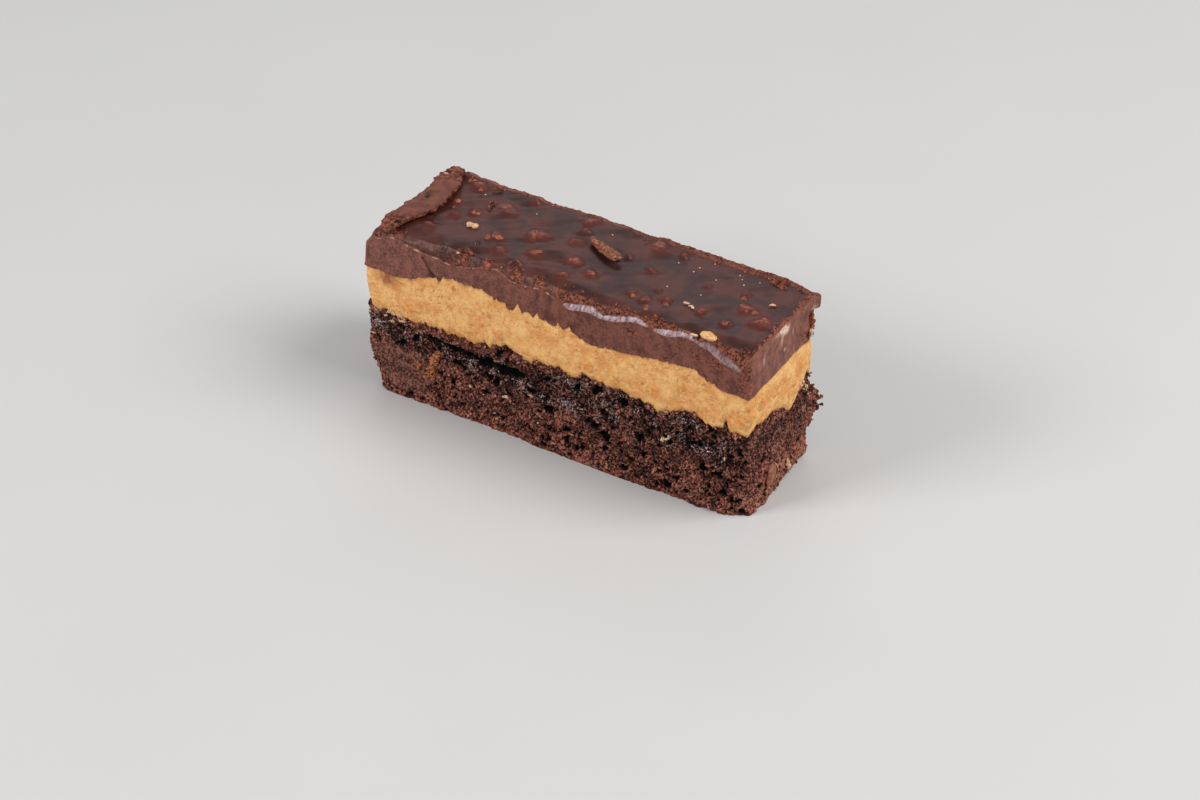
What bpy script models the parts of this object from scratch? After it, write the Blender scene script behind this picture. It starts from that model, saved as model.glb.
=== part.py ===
"""A chocolate peanut butter brownie: one cut bar, standing on its baked base.

Three layers run right through the bar, each its own solid: an open-crumbed dark brownie, a set peanut
butter cream, and a slab of chocolate with nuts and puffed rice under its skin. A flap of chocolate lies
along the left end of the top, and a shaving, small nibs and crumbs are stuck to the bar.

Metres, +Z up. The origin is at the level of the base, midway between the bar's furthest points. +X runs along
the bar, and -Y is the front, one of its two long cut sides.
"""

import math
import random

import bmesh
import bpy
from mathutils import Matrix, Vector, noise

MM = 0.001

# Driving sizes of the bar: the heights are those of the layers' average lines
LENGTH = 100.0 * MM
WIDTH = 29.2 * MM
BROWNIE_TOP = 22.7 * MM
PEANUT_TOP = 34.0 * MM
CHOCOLATE_TOP = 44.0 * MM
CORNER_RADIUS = 1.4 * MM

# A clump of crumb stands out at the back, so the bar itself lies a little forward of the origin
CENTRING = Vector((0.1, -0.85, 0.0)) * MM

# The layers touch in the real bar; here a hairline keeps each a solid of its own
GAP = 0.34 * MM

# Waves of the lines between the layers and of the worn front edge, in millimetres:
# height, place of a crest, distance between crests
BROWNIE_WAVES = ((0.50, 50.0, 150.0), (0.46, 14.1, 27.1), (0.36, 1.9, 15.8), (0.24, -0.9, 11.8))
PEANUT_WAVES = ((1.19, -21.4, 51.1), (0.87, -15.0, 83.5), (0.51, -0.7, 28.9), (0.33, -6.7, 21.5))
CREST_HEIGHT = 41.3 * MM
CREST_WAVES = ((0.79, -10.3, 40.1), (0.48, 0.6, 18.7), (0.36, -3.3, 12.9))

# Grid of the layers: a narrow first cell all round holds the edges
EDGE_CELL = 1.0 * MM
CELL = 2.0 * MM
BROWNIE_ROWS = 11
PEANUT_ROWS = 4
CHOCOLATE_ROWS = 5

# The waves between layers die out this far inside the bar, and the relief of the sides this far inside
# the faces that lie free
SIDE_REACH = 2.9 * MM
FREE_REACH = 7.0 * MM

# Crumb of the brownie's sides
CRAG_DEPTH = 0.55 * MM
CRAG_SIZE = 2.6 * MM
PIT_DEPTH = 0.9 * MM
PIT_SPACING = 4.6 * MM

# Flap of chocolate along the left end of the top
FLAP_LENGTH = 29.4 * MM
FLAP_WIDTH = 6.8 * MM
FLAP_RISE = 1.3 * MM
FLAP_CENTRE = (-43.1 * MM, -0.5 * MM)
FLAP_SLANT = 0.08

# Lumps under the chocolate's skin: half length, half width and height of an average one
LUMP = (2.6 * MM, 1.25 * MM, 0.62 * MM)
LUMP_COUNT = 34
LUMP_CLEARANCE = 2.2 * MM

RANDOM_SEED = 41


def material(name, colour, roughness):
    """A Principled BSDF with the piece's own colour."""
    made = bpy.data.materials.new(name)
    made.use_nodes = True
    shader = made.node_tree.nodes["Principled BSDF"]
    shader.inputs["Base Color"].default_value = (*colour, 1.0)
    shader.inputs["Roughness"].default_value = roughness
    shader.inputs["Metallic"].default_value = 0.0
    made.diffuse_color = (*colour, 1.0)
    return made


def smooth_step(value, low, high):
    """0 below low, 1 above high, and an S curve between them."""
    t = min(max((value - low) / (high - low), 0.0), 1.0)
    return t * t * (3.0 - 2.0 * t)


def swell(position, crest, period):
    """A wave of height 1 with its crest at the given place."""
    return math.cos(2.0 * math.pi * (position - crest) / period)


def waves(x, y, shape):
    """Sum of a few waves along the bar; they run across it at a slant."""
    along = (x + 0.35 * (y + WIDTH / 2)) / MM
    return MM * sum(height * swell(along, crest, period) for height, crest, period in shape)


def near_side(x, y):
    """1 on the sides of the bar and over its first cell, 0 well inside it."""
    inset = min(LENGTH / 2 - abs(x), WIDTH / 2 - abs(y))
    return 1.0 - smooth_step(inset, EDGE_CELL, SIDE_REACH)


def brownie_line(x, y):
    """Height of the line between brownie and peanut cream."""
    ragged = 0.3 * MM * noise.noise(Vector((x, y, 0.0)) / (2.4 * MM))
    return BROWNIE_TOP + (waves(x, y, BROWNIE_WAVES) + ragged) * near_side(x, y)


def peanut_line(x, y):
    """Height of the line between peanut cream and chocolate."""
    ragged = 0.25 * MM * noise.noise(Vector((x, y, 0.02)) / (3.0 * MM))
    return PEANUT_TOP + (waves(x, y, PEANUT_WAVES) + ragged) * near_side(x, y)


def lump_places():
    """Scattered lumps under the skin: each has x, y, half length, half width, height and turn."""
    draw = random.Random(RANDOM_SEED)
    found = []
    while len(found) < LUMP_COUNT:
        x = draw.uniform(-37 * MM, 47 * MM)
        y = draw.uniform(-11.5 * MM, 12.5 * MM)
        size = draw.uniform(0.65, 1.3)
        turn = draw.uniform(-0.5, 0.9)
        reach = LUMP[0] * size + LUMP_CLEARANCE
        if all(math.hypot(x - other[0], (y - other[1]) * 1.5) > reach for other in found):
            found.append((x, y, LUMP[0] * size, LUMP[1] * size, LUMP[2] * draw.uniform(0.6, 1.2), turn))
    return found


def lump_height(x, y, lumps):
    """Height that the lumps add to the top: each is an oval dome with a soft skirt."""
    highest = 0.0
    for centre_x, centre_y, half_length, half_width, height, turn in lumps:
        dx, dy = x - centre_x, y - centre_y
        along = (dx * math.cos(turn) + dy * math.sin(turn)) / half_length
        across = (dy * math.cos(turn) - dx * math.sin(turn)) / half_width
        highest = max(highest, height * math.exp(-(along * along + across * across)))
    return highest


def top_height(x, y, lumps):
    """Height of the chocolate's top: level but for lumps, a low far right corner and the worn front edge."""
    dish = 0.2 * MM * swell(x, 46 * MM, 62 * MM)
    droop = 1.8 * MM * smooth_step(x, 42 * MM, 50 * MM) * smooth_step(y, 10.5 * MM, 16 * MM)
    crest = CREST_HEIGHT + waves(x, -WIDTH / 2, CREST_WAVES)
    wear = (CHOCOLATE_TOP - crest) * (1.0 - smooth_step(y + WIDTH / 2, -0.6 * MM, 1.1 * MM))
    return CHOCOLATE_TOP + dish + lump_height(x, y, lumps) - droop - wear


def bow(x, y, z):
    """Slow bend of the sides, alike at every height: the long ones belly out twice, the right end once."""
    if abs(y) > WIDTH / 2 - 1e-6:
        return 0.4 * MM * swell(x, 8 * MM, 54 * MM)
    if x < 0:
        return 0.5 * MM
    return 0.35 * MM * swell(y, -6 * MM, 34 * MM)


def brownie_side(x, y, z):
    """How far the brownie stands out: bow, crags and pits, a worn foot under the left end."""
    place = Vector((x, y, z))
    crag = CRAG_DEPTH * noise.fractal(place / CRAG_SIZE, 0.8, 2.0, 3)
    nearest = noise.voronoi(place / PIT_SPACING)[0][0]
    pit = PIT_DEPTH * max(0.0, 1.0 - nearest / 0.32)
    foot = 0.5 * MM * (1.0 - smooth_step(z, 0.0, 2.0 * MM))
    if x < -LENGTH / 2 + 1e-6:
        foot = 3.3 * MM * max(1.0 - z / (9 * MM), 0.0) ** 1.6
    return bow(x, y, z) + crag - pit - foot


def peanut_side(x, y, z):
    """The cream is nearly flat, bellies out a little, and overhangs the brownie at the left end."""
    share = min(max((z - BROWNIE_TOP) / (PEANUT_TOP - BROWNIE_TOP), 0.0), 1.0)
    belly = 0.3 * MM * math.sin(math.pi * share)
    overhang = 0.6 * MM * (share - 0.5) if x < -LENGTH / 2 + 1e-6 else 0.0
    far_corner = 0.9 * MM * smooth_step(x, 30 * MM, 48 * MM) * smooth_step(y, 10 * MM, 14 * MM)
    ripple = 0.15 * MM * noise.noise(Vector((x, y, z)) / (3.5 * MM))
    return bow(x, y, z) + belly + overhang - far_corner + ripple


def chocolate_side(x, y, z):
    """The chocolate is cut clean, leans in above at the left end, and has a lip at the far right corner."""
    lean = 3.6 * MM * smooth_step(z, 37 * MM, 45 * MM) * smooth_step(-x, 46 * MM, 50 * MM)
    at_corner = smooth_step(x, 40 * MM, 49 * MM) * smooth_step(y, 8 * MM, 13 * MM)
    lip = at_corner * (1.9 * MM * smooth_step(z, 39.6 * MM, 41.4 * MM) - 0.6 * MM)
    return bow(x, y, z) - lean + lip + 0.12 * MM * noise.noise(Vector((x, y, z)) / (5.0 * MM))


def cuts(extent):
    """Grid lines across an extent: one near each edge, then even cells."""
    inner = extent - 2 * EDGE_CELL
    count = round(inner / CELL)
    return [EDGE_CELL - extent / 2 + inner * step / count for step in range(count + 1)]


def cut_by_planes(mesh, direction, places):
    """Cuts every face of a mesh along planes at right angles to a direction."""
    for place in places:
        everything = mesh.verts[:] + mesh.edges[:] + mesh.faces[:]
        at = direction * place
        bmesh.ops.bisect_plane(mesh, geom=everything, dist=1e-7, plane_co=at, plane_no=direction)


def gridded_box(rows):
    """A closed box of the bar's footprint, one unit high, cut into cells."""
    mesh = bmesh.new()
    bmesh.ops.create_cube(mesh, size=1.0)
    bmesh.ops.scale(mesh, vec=(LENGTH, WIDTH, 1.0), verts=mesh.verts)
    cut_by_planes(mesh, Vector((1, 0, 0)), cuts(LENGTH))
    cut_by_planes(mesh, Vector((0, 1, 0)), cuts(WIDTH))
    cut_by_planes(mesh, Vector((0, 0, 1)), [row / rows - 0.5 for row in range(1, rows)])
    return mesh


def round_corner(x, y):
    """Moves a point of the rectangular footprint into one with round corners."""
    beyond_x = max(abs(x) - (LENGTH / 2 - CORNER_RADIUS), 0.0)
    beyond_y = max(abs(y) - (WIDTH / 2 - CORNER_RADIUS), 0.0)
    reach = math.hypot(beyond_x, beyond_y)
    if reach == 0.0:
        return x, y
    shrink = 1.0 - max(beyond_x, beyond_y) / reach
    return x - math.copysign(beyond_x * shrink, x), y - math.copysign(beyond_y * shrink, y)


def layer(low, high, side, rows, shared_levels):
    """One layer of the bar: low and high give the heights of its faces, side how far its walls stand out.

    A point near a wall moves with it, less the further inside it lies, so that no cell folds over. Where a
    face lies on another layer (a shared level), its inner points follow only the bow that all layers have."""
    mesh = gridded_box(rows)
    for vertex in mesh.verts:
        x, y, level = vertex.co
        z = low(x, y) + (high(x, y) - low(x, y)) * (level + 0.5)
        from_end = LENGTH / 2 - abs(x)
        from_long_side = WIDTH / 2 - abs(y)
        is_shared = any(abs(level - shared) < 1e-6 for shared in shared_levels)
        is_inner = min(from_end, from_long_side) > 1e-6
        reach = SIDE_REACH if is_shared else FREE_REACH
        stand_out = bow if is_shared and is_inner else side
        new_x, new_y = round_corner(x, y)
        out_x, out_y = math.copysign(1.0, x), math.copysign(1.0, y)
        if from_end < reach:
            new_x += out_x * (1.0 - from_end / reach) * stand_out(out_x * LENGTH / 2, y, z)
        if from_long_side < reach:
            new_y += out_y * (1.0 - from_long_side / reach) * stand_out(x, out_y * WIDTH / 2, z)
        z = low(new_x, new_y) + (high(new_x, new_y) - low(new_x, new_y)) * (level + 0.5)
        vertex.co = (new_x, new_y, z)
    return mesh


def join_level_cells(mesh, heights):
    """Makes one face of the cells that lie flat at each height, and splits the others in two.

    The shorter diagonal splits them, so that it is the same one on both sides of a hairline gap."""
    for height in heights:
        off_level = [vertex for vertex in mesh.verts if abs(vertex.co.z - height) > 1e-7]
        flat = set(mesh.faces) - {face for vertex in off_level for face in vertex.link_faces}
        bmesh.ops.dissolve_faces(mesh, faces=list(flat), use_verts=True)
    cells = [face for face in mesh.faces if len(face.verts) == 4]
    bmesh.ops.triangulate(mesh, faces=cells, quad_method="SHORT_EDGE")


def grain(size, stretch, place, turn, draw):
    """A small lump of uneven shape, about 30 triangles."""
    mesh = bmesh.new()
    bmesh.ops.create_uvsphere(mesh, u_segments=6, v_segments=4, radius=size / 2)
    for vertex in mesh.verts:
        vertex.co *= draw.uniform(0.82, 1.16)
    bmesh.ops.scale(mesh, vec=stretch, verts=mesh.verts)
    tilt = Matrix.Rotation(draw.uniform(-0.4, 0.4), 4, "X")
    matrix = Matrix.Translation(place) @ Matrix.Rotation(turn, 4, "Z") @ tilt
    bmesh.ops.transform(mesh, matrix=matrix, verts=mesh.verts)
    return mesh


def shaving(length, width, thickness, place, turn, tilt, draw):
    """A thin broken plate with ragged edges, from a gridded slab."""
    mesh = bmesh.new()
    bmesh.ops.create_grid(mesh, x_segments=6, y_segments=3, size=0.5)
    bmesh.ops.scale(mesh, vec=(length, width, 1.0), verts=mesh.verts)
    for vertex in mesh.verts:
        vertex.co.x += draw.uniform(-0.05, 0.05) * length
        vertex.co.y += draw.uniform(-0.09, 0.09) * width
        vertex.co.z += draw.uniform(-0.12, 0.12) * thickness
    top = bmesh.ops.extrude_face_region(mesh, geom=mesh.faces[:])
    raised = [item for item in top["geom"] if isinstance(item, bmesh.types.BMVert)]
    bmesh.ops.translate(mesh, vec=(0, 0, thickness), verts=raised)
    matrix = Matrix.Translation(place) @ Matrix.Rotation(turn, 4, "Z") @ Matrix.Rotation(tilt, 4, "X")
    bmesh.ops.transform(mesh, matrix=matrix, verts=mesh.verts)
    return mesh


def flap():
    """The strip of chocolate along the left end of the top, narrower at both of its ends."""
    draw = random.Random(RANDOM_SEED + 1)
    mesh = bmesh.new()
    bmesh.ops.create_cube(mesh, size=1.0)
    cut_by_planes(mesh, Vector((0, 1, 0)), [step / 14 - 0.5 for step in range(1, 14)])
    cut_by_planes(mesh, Vector((1, 0, 0)), [step / 4 - 0.5 for step in range(1, 4)])
    for vertex in mesh.verts:
        across, along, level = vertex.co
        width = FLAP_WIDTH * (1.0 - 0.5 * abs(2 * along) ** 3)
        y = FLAP_CENTRE[1] + along * FLAP_LENGTH
        x = FLAP_CENTRE[0] + FLAP_SLANT * y + across * width
        z = CHOCOLATE_TOP - 1.6 * MM
        if level > 0:
            worn_edge = 0.4 * MM * abs(2 * across) ** 3 + 0.4 * MM * abs(2 * along) ** 6
            z = CHOCOLATE_TOP + FLAP_RISE - worn_edge + draw.uniform(-0.15, 0.15) * MM
        if abs(across) > 0.49:
            x += draw.uniform(-0.35, 0.35) * MM
        vertex.co = (x, y, z)
    return mesh


def new_object(name, mesh, collection):
    """Puts a bmesh into a new object of the collection."""
    data = bpy.data.meshes.new(name)
    bmesh.ops.recalc_face_normals(mesh, faces=mesh.faces[:])
    mesh.to_mesh(data)
    mesh.free()
    made = bpy.data.objects.new(name, data)
    collection.objects.link(made)
    return made


def fuse(core, pieces):
    """Joins the small pieces to their core with one Boolean union, applies it and removes them."""
    toppings = bpy.data.collections.new(core.name + "_toppings")
    bpy.context.scene.collection.children.link(toppings)
    for number, mesh in enumerate(pieces):
        new_object(f"{core.name}_topping_{number}", mesh, toppings)
    union = core.modifiers.new("toppings", "BOOLEAN")
    union.operation = "UNION"
    union.operand_type = "COLLECTION"
    union.collection = toppings
    union.solver = "MANIFOLD"
    bpy.context.view_layer.update()
    graph = bpy.context.evaluated_depsgraph_get()
    joined = bpy.data.meshes.new_from_object(core.evaluated_get(graph))
    core.modifiers.clear()
    core.data = joined
    for piece in list(toppings.objects):
        bpy.data.objects.remove(piece)
    bpy.data.collections.remove(toppings)


def on_brownie_side(along, z):
    """A place on the brownie's wall, by how far round the footprint it is from the left front corner."""
    along = along % (2 * (LENGTH + WIDTH))
    on_far_half = along >= LENGTH + WIDTH
    along = along - (LENGTH + WIDTH) if on_far_half else along
    if along < LENGTH:
        x, y, outward, turn = along - LENGTH / 2, -WIDTH / 2, Vector((0, -1, 0)), 0.0
    else:
        x, y, outward, turn = LENGTH / 2, along - LENGTH - WIDTH / 2, Vector((1, 0, 0)), math.pi / 2
    if on_far_half:
        x, y, outward = -x, -y, -outward
    return Vector((x, y, z)) + outward * brownie_side(x, y, z), turn


def brownie_crumbs():
    """Crumbs stuck to the brownie's sides, and the ragged clump at its far right corner."""
    draw = random.Random(RANDOM_SEED + 2)
    found = []
    count = 24
    for number in range(count):
        along = 2 * (LENGTH + WIDTH) * (number + draw.uniform(0.2, 0.8)) / count
        place, turn = on_brownie_side(along, draw.uniform(4, 19) * MM)
        found.append(grain(draw.uniform(1.6, 2.6) * MM, (1.2, 0.9, 0.8), place, turn, draw))
    for number in range(10):
        fall = number / 9
        stand_out = 3.0 * MM * math.sin(math.pi * min(0.08 + 0.62 * fall, 1.0))
        place = Vector(((49.0 - draw.uniform(0, 1.2)) * MM, 12.9 * MM + stand_out, (20.0 - 8.2 * fall) * MM))
        found.append(grain(draw.uniform(2.6, 3.4) * MM, (1.1, 1.0, 0.8), place, draw.uniform(0, 3), draw))
    return found


def top_pieces(lumps):
    """Everything stuck to the chocolate: the flap, a shaving, nut nibs and the crumbs along the edges."""
    draw = random.Random(RANDOM_SEED + 3)

    def on_top(x, y, lift):
        return Vector((x * MM, y * MM, top_height(x * MM, y * MM, lumps) + lift * MM))

    found = [flap()]
    found.append(shaving(10.0 * MM, 3.0 * MM, 0.9 * MM, on_top(1.8, 4.4, 0.1), -0.25, 0.45, draw))
    found.append(grain(4.6 * MM, (1.0, 0.62, 0.55), on_top(38.4, -12.3, 0.4), 0.1, draw))
    found.append(grain(2.5 * MM, (1.0, 0.8, 0.7), on_top(-28.4, -3.7, 0.35), 0.4, draw))
    found.append(grain(2.4 * MM, (1.0, 0.7, 0.6), on_top(44.6, 4.0, 0.25), 1.0, draw))
    for number in range(16):
        x = -36 + 82 * (number + draw.uniform(0.2, 0.8)) / 16
        found.append(grain(draw.uniform(1.4, 2.2) * MM, (1.2, 0.8, 0.7), on_top(x, -13.1, 0.05), 0.1, draw))
    for number in range(7):
        place = on_top(40.5 + 1.4 * number, 13.1 + draw.uniform(-0.5, 0.3), 0.1)
        found.append(grain(draw.uniform(1.4, 2.2) * MM, (1.0, 0.8, 0.8), place, draw.uniform(0, 3), draw))
    return found


def finish(piece, surface):
    """Moves a piece into the frame, and gives it its material and its shading."""
    piece.data.transform(Matrix.Translation(CENTRING))
    piece.data.materials.clear()
    piece.data.materials.append(surface)
    piece.data.shade_smooth()
    piece.data.set_sharp_from_angle(angle=math.radians(40))


def brownie_base(collection):
    """The baked layer: flat below, crumbly at the sides."""
    mesh = layer(
        lambda x, y: 0.0,
        lambda x, y: brownie_line(x, y) - GAP / 2,
        brownie_side,
        BROWNIE_ROWS,
        (0.5,),
    )
    join_level_cells(mesh, (0.0, BROWNIE_TOP - GAP / 2))
    piece = new_object("brownie_base", mesh, collection)
    fuse(piece, brownie_crumbs())
    finish(piece, material("brownie_crumb", (0.085, 0.035, 0.025), 0.8))


def peanut_layer(collection):
    """The cream between the brownie and the chocolate."""
    mesh = layer(
        lambda x, y: brownie_line(x, y) + GAP / 2,
        lambda x, y: peanut_line(x, y) - GAP / 2,
        peanut_side,
        PEANUT_ROWS,
        (-0.5, 0.5),
    )
    join_level_cells(mesh, (BROWNIE_TOP + GAP / 2, PEANUT_TOP - GAP / 2))
    piece = new_object("peanut_layer", mesh, collection)
    finish(piece, material("peanut_cream", (0.68, 0.36, 0.13), 0.6))


def chocolate_top(collection):
    """The slab of chocolate with what is stuck to it."""
    lumps = lump_places()
    mesh = layer(
        lambda x, y: peanut_line(x, y) + GAP / 2,
        lambda x, y: top_height(x, y, lumps),
        chocolate_side,
        CHOCOLATE_ROWS,
        (-0.5,),
    )
    join_level_cells(mesh, (PEANUT_TOP + GAP / 2,))
    piece = new_object("chocolate_top", mesh, collection)
    fuse(piece, top_pieces(lumps))
    finish(piece, material("chocolate", (0.14, 0.055, 0.038), 0.35))


def main():
    for old in list(bpy.data.objects):
        bpy.data.objects.remove(old)
    bar = bpy.data.collections.new("chocolate_peanut_butter_brownie")
    bpy.context.scene.collection.children.link(bar)
    brownie_base(bar)
    peanut_layer(bar)
    chocolate_top(bar)


main()
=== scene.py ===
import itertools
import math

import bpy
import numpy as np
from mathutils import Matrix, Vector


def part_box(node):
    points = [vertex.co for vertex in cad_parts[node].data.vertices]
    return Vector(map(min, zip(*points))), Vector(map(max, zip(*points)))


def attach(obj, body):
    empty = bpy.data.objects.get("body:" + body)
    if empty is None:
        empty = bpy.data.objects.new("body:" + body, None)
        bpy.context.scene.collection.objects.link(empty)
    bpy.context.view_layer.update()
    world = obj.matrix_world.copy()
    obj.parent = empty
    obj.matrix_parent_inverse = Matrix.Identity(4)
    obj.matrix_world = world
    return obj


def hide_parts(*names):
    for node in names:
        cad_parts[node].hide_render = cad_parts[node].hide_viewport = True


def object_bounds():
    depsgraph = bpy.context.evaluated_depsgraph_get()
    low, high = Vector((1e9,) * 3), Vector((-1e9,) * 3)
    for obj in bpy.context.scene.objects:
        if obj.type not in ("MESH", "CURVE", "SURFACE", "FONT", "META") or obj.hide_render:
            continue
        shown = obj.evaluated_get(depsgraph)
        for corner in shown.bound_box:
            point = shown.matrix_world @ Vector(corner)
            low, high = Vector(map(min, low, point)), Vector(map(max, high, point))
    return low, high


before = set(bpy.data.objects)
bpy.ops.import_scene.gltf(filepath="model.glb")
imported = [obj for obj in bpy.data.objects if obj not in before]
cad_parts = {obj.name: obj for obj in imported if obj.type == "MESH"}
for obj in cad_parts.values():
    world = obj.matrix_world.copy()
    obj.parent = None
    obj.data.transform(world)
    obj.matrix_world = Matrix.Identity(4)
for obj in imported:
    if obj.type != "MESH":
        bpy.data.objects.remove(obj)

# %% [markdown]
# # A cut bar of chocolate peanut butter brownie
#
# The bar has three layers: a dark, open-crumbed brownie, a band of set peanut butter cream, and a slab of
# chocolate with nuts and puffed rice under its shiny skin. The loaded frame already holds each layer as a
# plain solid of the right size. This lesson builds the layers again as fine surfaces, with the crumb, the
# knife marks and the lumps that make them look like food, and then paints and lights them.
#
# Every surface is worked out with numpy: a grid of points, moved by formulas. That keeps the shapes smooth
# to change, and a hundred thousand points take no longer to describe than ten.

MM = 0.001
CAD_BOX = [[float(value) for value in corner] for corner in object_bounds()]
print("box of the solid model in mm:", [[round(value / MM, 1) for value in corner] for corner in CAD_BOX])

# %% [markdown]
# ## Sizes
#
# Lengths below are millimetres in the bar's own frame, with X along the bar, -Y out of its front, and Z up.
# The layers' heights and the waves of the lines between them are those of the solid model, so the new
# surfaces lie on it. A wave is given by its height, the place of a crest, and the distance between crests.

# %% Sizes of the bar
LENGTH, WIDTH = 100.0, 29.2
BROWNIE_TOP, CREAM_TOP, SLAB_TOP = 22.7, 34.0, 44.0
CORNER = 1.4
CENTRE = np.array([0.1, -0.85, 0.0])
HALF_LENGTH, HALF_WIDTH = LENGTH / 2, WIDTH / 2

BROWNIE_WAVES = ((0.50, 50.0, 150.0), (0.46, 14.1, 27.1), (0.36, 1.9, 15.8), (0.24, -0.9, 11.8))
CREAM_WAVES = ((1.19, -21.4, 51.1), (0.87, -15.0, 83.5), (0.51, -0.7, 28.9), (0.33, -6.7, 21.5))
CREST = 41.3
CREST_WAVES = ((0.79, -10.3, 40.1), (0.48, 0.6, 18.7), (0.36, -3.3, 12.9))

for node in ("brownie_base", "peanut_layer", "chocolate_top"):
    low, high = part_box(node)
    print(node, "reaches from", round(low[2] / MM, 1), "to", round(high[2] / MM, 1), "mm in height")

# %% [markdown]
# ## Chance that stays put
#
# Crumb, pits and crumbs are strewn at random, yet each run must give the same bar. So chance comes from a
# formula: the coordinates of a cell in space are multiplied by large numbers and stirred, which gives each
# cell a number of its own. Smooth noise blends such numbers between the corners of a cell, and a strewn
# pattern puts one point somewhere in each cell.


# %% Random numbers of cells
def chance(cell, salt=0):
    """A steady number from 0 to 1 for each cell: its whole coordinates times large primes, their bits mixed."""
    x, y, z = (np.asarray(cell)[..., axis].astype(np.int64) for axis in range(3))
    bits = (x * 73856093 ^ y * 19349663 ^ z * 83492791 ^ (salt * 40503 + 977)) & 0xFFFFFFFF
    for shift, factor in ((15, 2246822519), (13, 3266489917)):
        bits = ((bits ^ (bits >> shift)) * factor) & 0xFFFFFFFF
    return (bits ^ (bits >> 16)) / 4294967296.0


# %% Smooth noise
def drift(place, size, salt=0):
    """Smooth noise from about -1 to 1. Each corner of a cell has a random slope, and inside the cell the eight
    slopes' heights are blended along an S curve."""
    place = place / size
    cell = np.floor(place)
    inside = place - cell
    blend = inside**3 * (inside * (inside * 6 - 15) + 10)
    total = np.zeros(place.shape[:-1])
    for corner in itertools.product((0, 1), repeat=3):
        slope = np.stack([chance(cell + corner, 3 * salt + axis) for axis in range(3)], -1) * 2 - 1
        weight = np.prod(np.where(corner, blend, 1 - blend), -1)
        total += weight * ((inside - corner) * slope).sum(-1)
    return total * 1.6


def craggy(place, size, octaves=4, salt=0):
    """Rough noise: smooth noise, plus the same at half the size and half the height, and so on."""
    return sum(drift(place, size / 2**step, salt + 7 * step) / 2**step for step in range(octaves))


# %% Strewn points and pits
NEIGHBOURS = list(itertools.product((-1, 0, 1), repeat=3))


def strewn(place, size, salt=0):
    """Distances to the nearest and the second nearest of points strewn one to a cell, in cells, and the
    nearest one's own random number."""
    place = place / size
    cell = np.floor(place)
    first = np.full(place.shape[:-1], 9.0)
    second = first.copy()
    number = np.zeros(first.shape)
    for step in NEIGHBOURS:
        at = cell + step
        seed = at + np.stack([chance(at, 5 * salt + axis) for axis in range(3)], -1)
        distance = np.linalg.norm(place - seed, axis=-1)
        is_first = distance < first
        second = np.where(is_first, first, np.minimum(second, distance))
        number = np.where(is_first, chance(at, 5 * salt + 3), number)
        first = np.minimum(first, distance)
    return first, second, number


def pits(place, spacing, radii, share, salt=0):
    """Depth of round pits, one in a share of the cells: a ball's depth inside its radius, 0 outside."""
    cell = np.floor(place / spacing)
    depth = np.zeros(place.shape[:-1])
    for step in NEIGHBOURS:
        at = cell + step
        middle = (at + np.stack([chance(at, 11 * salt + axis) for axis in range(3)], -1)) * spacing
        radius = radii[0] + (radii[1] - radii[0]) * chance(at, 11 * salt + 3) ** 2
        away = np.linalg.norm(place - middle, axis=-1) / radius
        bowl = radius * np.sqrt(np.clip(1 - away**2, 0, 1))
        depth = np.maximum(depth, np.where(chance(at, 11 * salt + 4) < share, bowl, 0))
    return depth


def ease(value, low, high):
    """0 below low, 1 above high, and an S curve between them."""
    share = np.clip((value - low) / (high - low), 0, 1)
    return share * share * (3 - 2 * share)


def sponge(place, size, share, salt=0):
    """Depth of a sponge's pores, about 0 to 1. Strewn points split space into cells; a share of the cells are
    hollow, and what is left standing along their borders is the sponge's thin walls."""
    nearest, second, number = strewn(place, size, salt)
    return ease(second - nearest, 0.05, 0.5) * ease(share - number, -0.06, 0.06)


sample = np.random.default_rng(5).uniform(-20, 20, (4000, 3))
print("noise spans", drift(sample, 3.0).min().round(2), "to", drift(sample, 3.0).max().round(2))

# %% [markdown]
# ## Points round the plan
#
# Each layer's wall runs round the bar. Its columns of points stand on a rectangle with round corners: four
# straight runs, joined by quarter circles round the corners of a smaller, inner rectangle. Keeping each
# column's point on the inner rectangle and its outward direction makes it easy to move the wall in or out,
# and lets a regular grid fit inside it with no gap.


# %% Columns round the bar
class Plan:
    """Columns round the bar: for each, its point on the inner rectangle, its outward direction and the number
    of the inner point. Columns of one corner share one inner point."""

    def __init__(self, long_count, short_count, corner_count=6):
        half = np.array([HALF_LENGTH - CORNER, HALF_WIDTH - CORNER])
        corners = [half * sign for sign in ((1, -1), (1, 1), (-1, 1), (-1, -1))]
        centre, angle, inner = [], [], []
        first = 0
        for side, count in enumerate((long_count, short_count, long_count, short_count)):
            share = np.linspace(0, 1, count + 1)[:, None]
            centre.append(corners[side - 1] + (corners[side] - corners[side - 1]) * share)
            angle.append(np.full(count + 1, 90.0 * side - 90))
            inner.append(first + np.arange(count + 1))
            first += count
            turn = np.linspace(0, 1, corner_count + 1)[1:-1]
            centre.append(np.repeat(corners[side][None], len(turn), 0))
            angle.append(90.0 * side - 90 + 90 * turn)
            inner.append(np.full(len(turn), first))
        self.long_count, self.short_count = long_count, short_count
        self.centre = np.concatenate(centre)
        radians = np.radians(np.concatenate(angle))
        self.outward = np.stack([np.cos(radians), np.sin(radians)], -1)
        self.inner = np.concatenate(inner) % first
        self.inner_count = first
        self.front, self.right, self.back, self.left = (
            np.clip(self.outward @ np.array(way), 0, 1) ** 2 for way in ((0, -1), (1, 0), (0, 1), (-1, 0))
        )

    def ring(self, stand_out):
        """Points of a ring that stands out from the nominal wall by the given amounts."""
        return self.centre + (CORNER + np.broadcast_to(stand_out, len(self.centre)))[:, None] * self.outward

    def inner_ring(self):
        """The inner rectangle's points, each once."""
        points = np.zeros((self.inner_count, 2))
        points[self.inner] = self.centre
        return points


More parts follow.
